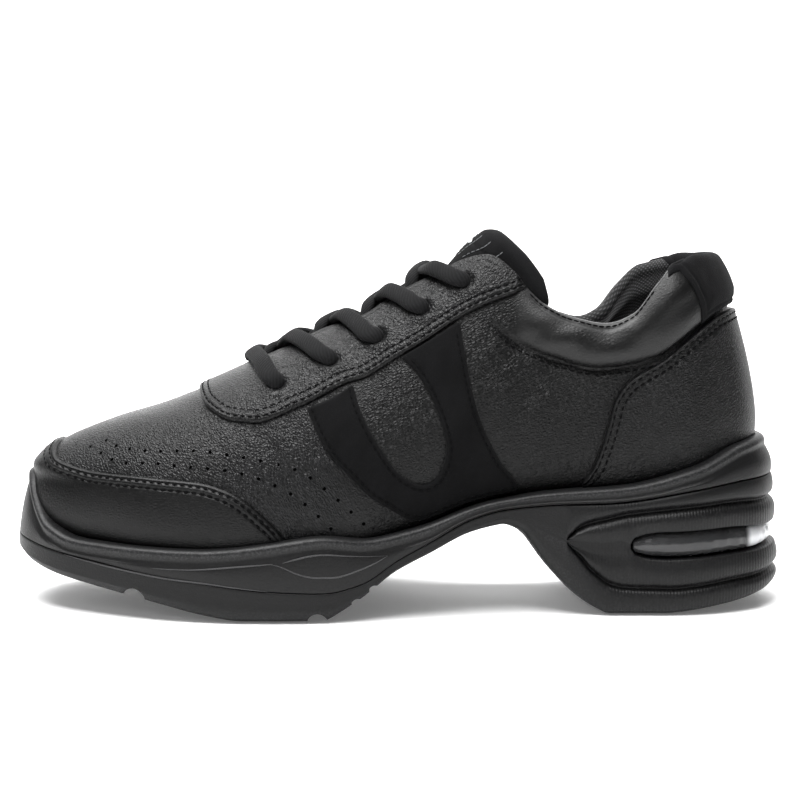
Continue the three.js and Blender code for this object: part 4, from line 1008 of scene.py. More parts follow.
@dataclass(frozen=True)
class Mesh:
    """Knitted air mesh with raised knots in a staggered grid, over the marks' millimetres."""

    name: str = "mesh_lining"
    colour: tuple[float, float, float] = (0.008, 0.008, 0.0087)
    pitch: float = 1.3

    def material(self) -> bpy.types.Material:
        """Builds the finish."""
        shader = Shader(self.name)
        inputs = {
            "Vector": shader.marks(),
            "Rotation": (math.radians(45), 0, 0),
            "Scale": (0, 1 / self.pitch, 1.3 / self.pitch),
        }
        at = shader.node("ShaderNodeMapping", {}, inputs)
        knot = (1 - shader.cells(at, 1.0, "F1", 0.08) * 2.3).clamp()
        fine = shader.noise(shader.place(), 3200, 2)
        return shader.dress(
            Base_Color=shader.blend(knot * (0.5 + fine), lighter(self.colour, 0.12), lighter(self.colour, 7)),
            Roughness=0.8,
            Sheen_Weight=0.1,
            Normal=shader.bump(knot, 0.3),
        )


@dataclass(frozen=True)
class Cord:
    """Woven lace: a fine slanting braid over the marks' millimetres along and round the lace."""

    name: str = "lace_weave"
    colour: tuple[float, float, float] = (0.0028, 0.0028, 0.0031)
    pitch: float = 1.25

    def material(self) -> bpy.types.Material:
        """Builds the finish."""
        shader = Shader(self.name)
        along, around = shader.mark(0), shader.mark(1)
        turn = 2 * math.pi / self.pitch
        weave = ((along + around) * turn).sine() * 0.5 + 0.5
        fine = shader.noise(shader.place(), 3800, 2)
        return shader.dress(
            Base_Color=shader.blend(weave * fine, self.colour, lighter(self.colour, 3.4)),
            Roughness=0.86,
            Specular_IOR_Level=0.2,
            Sheen_Weight=0.02,
            Normal=shader.bump(weave * 0.1 + fine * 0.1, 1.0),
        )


@dataclass(frozen=True)
class Plain:
    """A small part with a fine rough surface, such as thread."""

    name: str
    colour: tuple[float, float, float]
    roughness: float
    gloss: float = 0.25
    speckle: float = 0.0
    depth: float = 0.05

    def material(self) -> bpy.types.Material:
        """Builds the finish."""
        shader = Shader(self.name)
        fine = shader.noise(shader.place(), 3000, 2)
        patchy = (shader.noise(shader.place(), 1300, 2) * 6 - 2.7).clamp()
        return shader.dress(
            Base_Color=shader.blend(fine + patchy * self.speckle, self.colour, lighter(self.colour, 1.5)),
            Roughness=self.roughness,
            Specular_IOR_Level=self.gloss,
            Normal=shader.bump(fine, self.depth),
        )


@dataclass(frozen=True)
class Clear:
    """Clear soft plastic with faint ripples, dark, turning near white with the mark's first number as painted
    light.
    """

    name: str = "clear_plastic"
    dark: tuple[float, float, float] = (0.014, 0.014, 0.015)
    painted_glow: tuple[float, float, float] = (0.95, 0.96, 0.98)

    def material(self) -> bpy.types.Material:
        """Builds the finish."""
        shader = Shader(self.name)
        ripple = shader.noise(shader.place(90, 2.4), 300, 2)
        cloud = shader.noise(shader.place(0, 3), 160, 2)
        return shader.dress(
            Base_Color=shader.blend((shader.mark(0) + cloud * 0.08).clamp(), self.dark, self.painted_glow),
            Roughness=0.1 + 0.14 * cloud,
            Transmission_Weight=0.35,
            IOR=1.45,
            Normal=shader.bump(ripple, 0.5),
        )


class Finish:
    """Every finish, made once."""

    def __init__(self) -> None:
        """Builds the materials."""
        self.leather = Leather("upper_leather", -58, 34).material()
        self.toe_leather = Leather("toe_leather", 12, 12, grain=0.08, ripple=0.08).material()
        self.facing_leather = Leather("facing_leather", 72, 72, ripple=0.34).material()
        self.counter_leather = Leather("counter_leather", 34, 34, ripple=0.24).material()
        self.suede = Suede("saddle_suede").material()
        self.tongue = Suede("tongue_cloth", (0.0036, 0.0036, 0.0039), 0.2).material()
        self.insole = Suede("insole_cloth", (0.012, 0.012, 0.0125), 0.2).material()
        self.rubber = Rubber().material()
        self.mesh = Mesh().material()
        self.cord = Cord().material()
        self.thread = Plain("black_thread", (0.0016, 0.0016, 0.0018), 0.85, 0.08).material()
        self.pale_thread = Plain("grey_thread", (0.13, 0.135, 0.14), 0.5).material()
        # Pale line colour: wear, and a painted highlight on the moulded lines.
        self.line = Plain("worn_and_highlit_line", (0.028, 0.028, 0.029), 0.5, 0.3, 8.0).material()
        # Near-black and matte: painted shade inside the pinholes.
        self.painted_hole_shade = Plain("pinhole", (0.0004, 0.0004, 0.0004), 1.0, 0.0).material()
        self.clear = Clear().material()


def keep(obj: bpy.types.Object, material: bpy.types.Material, slot: str, *nodes: str) -> bpy.types.Object:
    """Dresses a piece, lets it ride on the shoe's body and hides the solids that it replaces.

    Args:
        obj: the piece.
        material: its finish.
        slot: not used.
        nodes: the solids that it replaces.

    Returns:
        The piece.
    """
    obj.data.materials.clear()
    obj.data.materials.append(material)
    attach(obj, "root")
    if nodes:
        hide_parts(*nodes)
    LOG.info("%s: %d faces", obj.name, len(obj.data.polygons))
    return obj


class Dot(Enum):
    """What is set at points of a surface."""

    STITCH = "stitch"
    PINHOLE = "pinhole"


class Scatter:
    """Geometry Nodes that set a stitch or a pinhole at every point of a surface path."""

    def __init__(self, dot: Dot, material: bpy.types.Material) -> None:
        """Builds the tree with named inputs for its sizes.

        Args:
            dot: what is set.
            material: its finish.
        """
        self.tree = bpy.data.node_groups.new(f"scatter_{dot.value}_{material.name}", "GeometryNodeTree")
        face = self.tree.interface
        face.new_socket("Geometry", in_out="INPUT", socket_type="NodeSocketGeometry")
        for name in ("Length", "Width", "Thickness"):
            face.new_socket(name, in_out="INPUT", socket_type="NodeSocketFloat")
        face.new_socket("Geometry", in_out="OUTPUT", socket_type="NodeSocketGeometry")
        start, end = self._node("NodeGroupInput"), self._node("NodeGroupOutput")
        size = self._node("ShaderNodeCombineXYZ")
        for k in range(3):
            self._link(start.outputs[k + 1], size.inputs[k])
        shape = self._shape(dot)
        place = self._node("GeometryNodeInstanceOnPoints")
        self._link(start.outputs[0], place.inputs["Points"])
        self._link(shape, place.inputs["Instance"])
        self._link(self._turn(), place.inputs["Rotation"])
        self._link(size.outputs[0], place.inputs["Scale"])
        real = self._node("GeometryNodeRealizeInstances")
        self._link(place.outputs[0], real.inputs[0])
        paint = self._node("GeometryNodeSetMaterial")
        paint.inputs["Material"].default_value = material
        self._link(real.outputs[0], paint.inputs[0])
        self._link(paint.outputs[0], end.inputs[0])

    def _node(self, kind: str) -> bpy.types.Node:
        """Adds a node."""
        return self.tree.nodes.new(kind)

    def _link(self, a: bpy.types.NodeSocket, b: bpy.types.NodeSocket) -> None:
        """Joins two sockets."""
        self.tree.links.new(a, b)

    def _shape(self, dot: Dot) -> bpy.types.NodeSocket:
        """One stitch is a slim ball of 40 faces, and one pinhole a flat disc.

        Args:
            dot: the choice.

        Returns:
            The shape's output.
        """
        if dot is Dot.STITCH:
            ball = self._node("GeometryNodeMeshUVSphere")
            ball.inputs["Segments"].default_value = 8
            ball.inputs["Rings"].default_value = 5
            ball.inputs["Radius"].default_value = 0.5
            return ball.outputs["Mesh"]
        disc = self._node("GeometryNodeMeshCylinder")
        disc.inputs["Vertices"].default_value = 10
        disc.inputs["Radius"].default_value = 0.5
        disc.inputs["Depth"].default_value = 1.0
        return disc.outputs["Mesh"]

    def _turn(self) -> bpy.types.NodeSocket:
        """Turns a shape's X along the path and its Z out of the surface."""
        rotation: bpy.types.NodeSocket | None = None
        for axis, pivot, name in (("Z", "AUTO", "out"), ("X", "Z", "along")):
            vector = self._node("GeometryNodeInputNamedAttribute")
            vector.data_type = "FLOAT_VECTOR"
            vector.inputs["Name"].default_value = name
            align = self._node("FunctionNodeAlignRotationToVector")
            align.axis = axis
            align.pivot_axis = pivot
            self._link(vector.outputs[0], align.inputs["Vector"])
            if rotation is not None:
                self._link(rotation, align.inputs["Rotation"])
            rotation = align.outputs[0]
        return rotation

    def run(self, name: str, path: SurfacePath, size: tuple[float, float, float]) -> bpy.types.Object:
        """Sets the shapes and returns them as one plain mesh.

        Args:
            name: the piece's name.
            path: places with their directions, in millimetres.
            size: length, width and thickness of one shape, in millimetres.

        Returns:
            The joined mesh object.
        """
        mesh = bpy.data.meshes.new(name + "_points")
        mesh.from_pydata((drawn_out(path.points) * MM).tolist(), [], [])
        for key, values in (("along", path.along), ("out", path.out)):
            layer = mesh.attributes.new(key, "FLOAT_VECTOR", "POINT")
            layer.data.foreach_set("vector", np.ascontiguousarray(values, np.float32).reshape(-1))
        carrier = placed(name + "_points", mesh)
        modifier = carrier.modifiers.new("scatter", "NODES")
        modifier.node_group = self.tree
        inputs = [i for i in self.tree.interface.items_tree if i.in_out == "INPUT" and i.name != "Geometry"]
        for item, value in zip(inputs, size):
            modifier[item.identifier] = value * MM
        carrier.update_tag()
        made = evaluated(carrier)
        made.name = name
        bpy.data.objects.remove(carrier)
        return placed(name, made)


@dataclass
class SurfacePath:
    """Points along a line on the upper, with directions."""

    points: Array
    along: Array
    out: Array

    @classmethod
    def on_upper(cls, side: Side, share: Array, z: Array, by: float, pitch: float) -> SurfacePath:
        """Evenly spaced points on the upper through places given by share and height.

        Args:
            side: the side of the foot.
            share: shares of the length along the line.
            z: heights along the line.
            by: distance out from the face.
            pitch: spacing of the points.

        Returns:
            The path.
        """
        v = Last.row_at(side, share, z)
        run = running(Last.point(side, share, v))
        at = np.arange(pitch / 2, run[-1], pitch)
        s = np.interp(at, run, share)
        row = np.interp(at, run, v)
        out = Last.normal(side, s, row)
        base = Last.point(side, s, row)
        points = base + out * by + out * relief(side, s, base)[:, None]
        return cls(points, unit(np.gradient(points, axis=0)), out)

    @staticmethod
    def join(paths: list[SurfacePath]) -> SurfacePath:
        """Several paths as one.

        Args:
            paths: the paths.

        Returns:
            One path.
        """
        return SurfacePath(
            np.concatenate([p.points for p in paths]),
            np.concatenate([p.along for p in paths]),
            np.concatenate([p.out for p in paths]),
        )


def beside(side: Side, share: Array, z: Array, by: float) -> tuple[Array, Array]:
    """A line on the upper moved sideways by a distance, to the right of its direction seen from outside.

    Args:
        side: the side of the foot.
        share: shares of the length along the line.
        z: heights along the line.
        by: distance to move, in millimetres.

    Returns:
        Shares and heights of the moved line.
    """
    arc = PLAN.arc(side, share)
    run, rise = np.gradient(arc), np.gradient(z)
    length = np.maximum(np.hypot(run, rise), 1e-9)
    return PLAN.share(side, arc + by * rise / length), z - by * run / length


class Collar:
    """The upper's whole skin: up its outer face, over the rolled edge and down the inside."""

    THROAT_END = 0.655
    PAD_START = 0.72
    ROLL = 5.6
    TAPER = 16.0
    STEP = 0.004

    @classmethod
    def thickness(cls, share: Array) -> Array:
        """Thickness of the edge: thin along the throat and padded round the ankle."""
        padded = smooth((share - cls.THROAT_END) / (cls.PAD_START - cls.THROAT_END))
        return mix(UPPER_WALL, cls.ROLL, padded)

    @classmethod
    def rows(cls, side: Side, share: Array) -> tuple[Array, Array]:
        """The row at which the roll starts and the rows in a millimetre.

        Args:
            side: the side of the foot.
            share: shares of the length.

        Returns:
            Both, for each share.
        """
        wall = Last.point(side, share, 1.0) - Last.point(side, share, BELLY_ROW)
        per_mm = (1 - BELLY_ROW) / np.linalg.norm(wall, axis=-1)
        opened = np.clip(LAST.at("edge", share) * BALL_WIDTH / 4, 0, 1)
        return 1 - per_mm * cls.thickness(share) / 2 * opened * 0.7, per_mm

    @classmethod
    def skin(cls, side: Side, share: Array, w: Array, low: Array | float = 0.0) -> tuple[Array, Array]:
        """Points and outward directions of the skin.

        Args:
            side: the side of the foot.
            share: shares of the length.
            w: 0 to 1 from the low row up to the roll, to 2 over the roll, and to 3 down the inside.
            low: the row at which w starts.

        Returns:
            Points and directions, with the broadcast shape of share and w.
        """
        share, w, low = np.broadcast_arrays(share, w, low)
        top, per_mm = cls.rows(side, share)
        v = np.where(w < 1, mix(low, top, np.minimum(w, 1)), top * (1 - np.maximum(w - 2, 0)))
        base, out = Last.point(side, share, v), Last.normal(side, share, v)
        up = unit(base - Last.point(side, share, v - cls.STEP))
        turn = np.clip(w - 1, 0, 1) * math.pi
        fade = smooth((top - v) / per_mm / cls.TAPER)
        thick = cls.thickness(share)
        half = np.where(w > 1, mix(thick, UPPER_WALL, fade), thick)[..., None] / 2
        opened = np.clip(LAST.at("edge", share) * BALL_WIDTH / 4, 0, 1)[..., None]
        swing = out * np.cos(turn)[..., None] + up * np.sin(turn)[..., None] * opened
        points = base - out * half + swing * half
        pressed = relief(side, share, base) + cls.binding(share, (1 - v) / per_mm)
        points += out * (pressed * np.clip(1 - np.maximum(w - 1, 0) * 2, 0, 1))[..., None]
        return points, unit(swing)

    @staticmethod
    def binding(share: Array, down: Array) -> Array:
        """The stitched groove under the edge, behind the facing."""
        here = smooth((share - 0.64) / 0.02) * (1 - smooth((share - 0.76) / 0.08))
        return -0.35 * here * np.exp(-(((down - 2.6) / 0.5) ** 2))


@dataclass
class Panel:
    """A piece sewn on the upper, made over a grid of places on the last."""

    name: str
    node: str
    slot: str
    finish: bpy.types.Material
    thickness: float = OVERLAY
    edge_radius: float = 0.8
    groove_rows: tuple[float, ...] = SEAM_ROWS
    groove: float = 0.24
    groove_width: float = 0.42
    lip: float = 0.0
    lift: float = 0.12
    depth: float = 0.7
    bevel: float = 4.0

    def build(self, places: list[tuple[Side, Array, Array]], edges: Array, swell: Array | float = 0) -> None:
        """Makes the piece.

        Args:
            places: for each side, shares and rows of the grid, stations by rows; sides meet at the tip.
            edges: points along the edges that show.
            swell: extra height over the grid, for padding and dips.
        """
        points = np.concatenate([Last.point(side, share, v) for side, share, v in places])
        normals = np.concatenate([Last.normal(side, share, v) for side, share, v in places])
        rise = np.concatenate([relief(side, share, Last.point(side, share, v)) for side, share, v in places])
        away = self.distance(points, edges)
        round_off = np.sqrt(np.clip(1 - (1 - np.clip(away / self.edge_radius, 0, 1)) ** 2, 0, 1))
        height = self.lift + (self.thickness + GAP * 0.5) * round_off + swell
        height += self.lip * np.exp(-(((away - 0.8) / 0.7) ** 2))
        for row in self.groove_rows:
            height = height - self.groove * np.exp(-(((away - row) / self.groove_width) ** 2))
        far = points + normals * (height + rise * 0.7)[..., None]
        near = points - normals * self.depth
        skin = Skin()
        skin.wrap(near, far, 0.0, 0.5 * np.clip(1 - away / self.bevel, 0, 1))
        keep(skin.build(self.name), self.finish, self.slot, self.node)

    @staticmethod
    def distance(points: Array, edges: Array) -> Array:
        """Distance from each point to the nearest of the edge's points.

        Args:
            points: the points.
            edges: the edge.

        Returns:
            The distances.
        """
        flat = points.reshape(-1, 3)
        best = np.full(len(flat), 1e9)
        for start in range(0, len(edges), 64):
            block = edges[start : start + 64]
            gap = ((flat[:, None, :] - block[None, :, :]) ** 2).sum(axis=2).min(axis=1)
            best = np.minimum(best, gap)
        return np.sqrt(best).reshape(points.shape[:-1])


@dataclass
class Upper:
    """The leather upper with everything sewn on it."""

    finish: Finish
    stations: int = 230
    cap_end: float = 0.358
    counter_end: float = 0.736
    facing: tuple[float, float] = (0.2285, 0.664)
    eyelet_ring: tuple[float, float, float] = (0.35, 4.4, 1.4)
    eyelet_dip: tuple[float, float] = (0.9, 2.6)
    facing_end_dip: float = 1.1
    tab_start: float = 0.8495
    tab_reach: tuple[float, float] = (0.48, 1.08)
    tab_radius: float = 2.2
    tab_swell_run: float = 11.0
    tab_channel: tuple[float, float, float] = (0.4, 2.6, 0.45)
    lining_rows: tuple[float, float] = (1.52, 2.93)
    lining_pad: float = 3.4
    lining_pad_run: float = 9.0
    lining_pad_end: tuple[float, float] = (18.0, 22.0)
    stitch: tuple[float, float, float] = (2.0, 0.6, 0.5)
    stitch_pitch: float = 2.7
    collar_pitch: float = 2.2
    pinhole: tuple[float, float, float] = (1.15, 1.15, 0.1)
    pinhole_pitch: float = 5.9

    def build(self) -> None:
        """Makes every piece of the upper."""
        self.shell()
        self.toe_cap()
        self.heel_counter()
        self.facings()
        for side in Side:
            self.saddle(side)
        self.heel_tab()
        self.lining()
        self.seams()
        self.pinholes()

    def shell(self) -> None:
        """The hollow leather shell, open at the collar, the throat and underneath, with a rolled edge."""
        share = PLAN.even_shares(0, 1, self.stations)
        opened = max(int(np.flatnonzero(LAST.at("edge", share) > 0)[0]) - 1, 0)
        face = np.concatenate([np.linspace(0, 0.2, 10, endpoint=False), np.linspace(0.2, 1, 80)])
        over, inside = np.linspace(1, 2, 13), np.linspace(2, 3, 34)
        skin = Skin()
        for side in Side:
            for kept, w in ((share, face), (share[opened:], over), (share, inside)):
                s, rows = np.meshgrid(kept, w, indexing="ij")
                points = Collar.skin(side, s, rows)[0]
                above = points[..., 2] - seam_height(COLLAR_SEAM, s)
                calm = smooth(above / 3) * smooth((s - COLLAR_START) / 0.03) * 0.75
                skin.sheet(points, smooth((s - 0.4) / 0.08), calm)
            skin.sheet(np.stack([points[:, -1], Collar.skin(side, share, np.zeros(len(share)))[0]]))
        keep(skin.build("leather_upper"), self.finish.leather, "leather", "upper")

    @staticmethod
    def strip(tip: float, end: float, seam: Table, count: int, rows: int) -> tuple[list, Array]:
        """A piece that runs round the toe or the heel, from under the sole's rim up to a seam.

        Args:
            tip: the share at the tip, 0 or 1.
            end: the share at which the piece ends on each side.
            seam: the seam's table.
            count: stations on a side.
            rows: rows from rim to seam.

        Returns:
            The grid's places on both sides and the seam's points.
        """
        share = PLAN.even_shares(min(tip, end), max(tip, end), count)
        if tip > end:
            share = share[::-1]
        t = 1 - (1 - np.linspace(0, 1, rows)) ** 1.5
        places, edges = [], []
        for side in Side:
            low = Last.row_at(side, share, rim_at(share) - SOLE_TUCK)
            high = np.maximum(low + 0.004, Last.row_at(side, share, seam_height(seam, share)))
            edges.append(Last.point(side, share, high))
            grid = (np.repeat(share[:, None], rows, axis=1), mix(low[:, None], high[:, None], t[None, :]))
            places.append((side, *(g[:: side.value] for g in grid)))
        return places, resample(np.concatenate([edges[0][::-1], edges[1]]), 900)

    def toe_cap(self) -> None:
        """The toe cap, sewn on with two rows of stitches."""
        places, edges = self.strip(0, self.cap_end, TOE_SEAM, 140, 46)
        panel = Panel("toe_cap_leather", "toe_cap", "leather", self.finish.toe_leather, edge_radius=2.4)
        panel.groove = 0.42
        panel.build(places, edges)

    def heel_counter(self) -> None:
        """The counter round the heel, with a raised folded edge."""
        places, edges = self.strip(1, self.counter_end, COUNTER_SEAM, 110, 60)
        panel = Panel("heel_counter_leather", "heel_counter", "leather", self.finish.counter_leather)
        panel.lip = 0.35
        panel.build(places, edges)

    def facings(self) -> None:
        """The lace facings, joined in front of the throat, with a dip at each eyelet."""
        share = PLAN.even_shares(*self.facing, 170)
        places, edges = [], []
        t = np.concatenate([np.linspace(0, 0.3, 16, endpoint=False), np.linspace(0.3, 1, 28)])
        for side in Side:
            low = Last.row_at(side, share, seam_height(FACING_SEAM, share))
            front = Last.point(side, share[:1].repeat(20), np.linspace(low[0], 1, 20))
            edges.append(resample(np.concatenate([Last.point(side, share[::-1], low[::-1]), front]), 500))
            opened = share[LAST.at("edge", share) > 0.02]
            edges.append(resample(Last.point(side, opened, np.ones(len(opened))), 300))
            grid = (np.repeat(share[:, None], len(t), axis=1), mix(low[:, None], 1.0, t[None, :]))
            places.append((side, *(g[:: side.value] for g in grid)))
        points = np.concatenate([Last.point(*place) for place in places])
        dips = np.zeros(points.shape[:-1])
        high, middle, width = self.eyelet_ring
        deep, radius = self.eyelet_dip
        for side in Side:
            for eyelet in EYELETS.x:
                away = np.linalg.norm(points - Last.point(side, eyelet, eyelet_row(side, eyelet)), axis=-1)
                ring = high * np.exp(-(((away - middle) / width) ** 2))
                dips += ring - deep * np.exp(-((away / radius) ** 4))
        stations = np.concatenate([place[1] for place in places])
        dips -= self.facing_end_dip * smooth((stations - 0.65) / 0.014)
        panel = Panel("lace_facings", "eyestay", "leather", self.finish.facing_leather)
        panel.build(places, np.concatenate(edges), dips)

    def saddle(self, side: Side) -> None:
        """One suede saddle, round its open leather inset.

        Args:
            side: the side of the foot.
        """
        x, z, inset_x, inset_z = resample(np.array(SADDLE), 150).T
        t = np.linspace(0, 1, 34)[None, :]
        share = mix(x[:, None], inset_x[:, None], t)
        height = bed_at(share) + INSTEP_HEIGHT * mix(z[:, None], inset_z[:, None], t)
        height = np.clip(height, rim_at(share) - SOLE_TUCK, seam_height(FACING_SEAM, share) + 1.5)
        v = Last.row_at(side, share, height)
        grid = Last.point(side, share, v)
        edges = np.concatenate([resample(grid[:, 0], 700), resample(grid[:, -1], 500)])
        name = side.name.lower()
        panel = Panel(f"suede_saddle_{name}", f"saddle_{name}", "suede", self.finish.suede, OVERLAY * 0.75)
        panel.groove_rows = (SADDLE_SEAM,)
        panel.build([(side, share, v)], edges)

    def tab_low(self, side: Side, share: Array) -> Array:
        """The row along the heel tab's lower edge."""
        height = np.where(share < 0.904, seam_height(TAB_EDGE, share), seam_height(COUNTER_SEAM, share) + 1.4)
        return Last.row_at(side, share, height)

    def heel_tab(self) -> None:
        """The padded tab behind the collar; it rolls over the edge and a little way inside."""
        share = np.concatenate([[1.0], PLAN.even_shares(self.tab_start, 0.9995, 90)[::-1]])
        t = np.concatenate([np.linspace(0, 1, 40, endpoint=False), np.linspace(1, 2, 24)])
        reach = mix(*self.tab_reach, smooth((share - 0.862) / 0.05))
        w = np.minimum(t, 1) + np.maximum(t - 1, 0) * reach[:, None]
        grids, outs = [], []
        for side in Side:
            low = np.minimum(self.tab_low(side, share), Collar.rows(side, share)[0] - 0.01)
            points, out = Collar.skin(side, share[:, None], w, low[:, None])
            grids.append(points[:: side.value])
            outs.append(out[:: side.value])
        points, out = np.concatenate(grids), np.concatenate(outs)
        border = np.concatenate([points[:, 0], points[0], points[-1], points[:, -1]])
        away = Panel.distance(points, resample(border, 1400))
        rounded = np.sqrt(np.clip(1 - (1 - np.clip(away / self.tab_radius, 0, 1)) ** 2, 0, 1))
        deep, place, width = self.tab_channel
        height = 0.1 + 0.8 * rounded + smooth(away / self.tab_swell_run)
        height -= deep * np.exp(-(((away - place) / width) ** 2))
        skin = Skin()
        skin.wrap(points - out * 0.6, points + out * height[..., None])
        obj = keep(skin.build("heel_tab_suede"), self.finish.tongue, "suede", "heel_tab")

    def lining(self) -> None:
        """Padded mesh inside the collar, down to the insole."""
        share = PLAN.even_shares(COLLAR_START, 1, 150)[::-1]
        start, end = self.lining_rows
        w = np.concatenate([np.linspace(start, 2, 14, endpoint=False), np.linspace(2, end, 70)])
        nears, fars, across, down = [], [], [], []
        for side in Side:
            points, out = Collar.skin(side, share[:, None], w[None, :])
            over = np.minimum(w - 2, 0)[None, :] * Collar.ROLL * math.pi / 2
            depth = np.maximum(w - 2, 0)[None, :] / Collar.rows(side, share)[1][:, None]
            fall, run = self.lining_pad_end
            swell = smooth(depth / self.lining_pad_run) * (1 - smooth((depth - fall) / run))
            pad = 0.4 + self.lining_pad * swell
            pad = pad * smooth((share - COLLAR_START) / 0.06)[:, None]
            nears.append((points - out * 0.4)[:: side.value])
            fars.append((points + out * (pad + 0.15)[..., None])[:: side.value])
            arc = PLAN.arc(side, share)
            across.append((np.broadcast_to((arc - arc[0])[:, None], depth.shape) * side.value)[:: side.value])
            down.append((depth + over)[:: side.value])
        skin = Skin()
        marks = (0.0, np.concatenate(across), np.concatenate(down))
        skin.wrap(np.concatenate(nears), np.concatenate(fars), *marks)
        obj = keep(skin.build("collar_lining_mesh"), self.finish.mesh, "mesh_fabric")

    def seam_lines(self, side: Side) -> list[tuple[Array, Array, float, float]]:
        """Every seam of one side: shares, heights, distance to the seam and height over the face.

        Args:
            side: the side of the foot.

        Returns:
            The four for each row of stitches.
        """
        height = GAP + OVERLAY - 0.14
        toe = PLAN.even_shares(0.0, 0.355, 240)
        heel = PLAN.even_shares(0.74, 1.0, 200)
        facing = PLAN.even_shares(0.232, 0.662, 240)
        collar = PLAN.even_shares(COLLAR_START, 0.99, 200)
        lines = []
        for by in SEAM_ROWS:
            lines.append((toe, seam_height(TOE_SEAM, toe), by, height))
            lines.append((heel, seam_height(COUNTER_SEAM, heel), by, height + 0.1))
            lines.append((facing, seam_height(FACING_SEAM, facing), -by, height))
        lines.append((collar, seam_height(COLLAR_SEAM, collar), 1.8, 0.1))
        x, z, inset_x, inset_z = resample(np.array(SADDLE), 240).T
        for share, rise, by in ((x, z, -SADDLE_SEAM), (inset_x, inset_z, SADDLE_SEAM)):
            inside = z < 0.68
            lines.append((share[inside], (bed_at(share) + INSTEP_HEIGHT * rise)[inside], by, height * 0.8))
        return lines

    def seams(self) -> None:
        """Every row of stitches on the upper, by Geometry Nodes."""
        paths = []
        for side in Side:
            for share, z, shift, by in self.seam_lines(side):
                moved, level = beside(side, share, z, shift)
                kept = (level > rim_at(moved) + 0.8) & (moved > 0.0005)
                paths.append(SurfacePath.on_upper(side, moved[kept], level[kept], by, self.stitch_pitch))
            share = PLAN.even_shares(0.668, 0.83, 200)
            row, per_mm = Collar.rows(side, share)
            edge = Last.point(side, share, 1 - per_mm * 1.7)[:, 2]
            paths.append(SurfacePath.on_upper(side, share, edge, 0.05, self.collar_pitch))
        stitches = Scatter(Dot.STITCH, self.finish.thread)
        obj = stitches.run("upper_stitches", SurfacePath.join(paths), self.stitch)
        keep(obj, self.finish.thread, "leather")

    def pinholes(self) -> None:
        """Two rows of small holes along the toe seam, as near-black discs whose colour is painted shade
        inside the holes.
        """
        paths = []
        for side in Side:
            for row in PINHOLES:
                share, z = resample(np.array(row), 200).T
                kept = (z > rim_at(share) + 2) & (z < ridge_at(share) - 1.5)
                paths.append(SurfacePath.on_upper(side, share[kept], z[kept], 0.0, self.pinhole_pitch))
        holes = Scatter(Dot.PINHOLE, self.finish.painted_hole_shade)
        obj = holes.run("toe_pinholes", SurfacePath.join(paths), self.pinhole)
        keep(obj, self.finish.painted_hole_shade, "leather")


def eyelet_row(side: Side, share: Array | float) -> Array:
    """The row at which an eyelet lies."""
    return Last.row_at(side, share, seam_height(EYELETS, share))


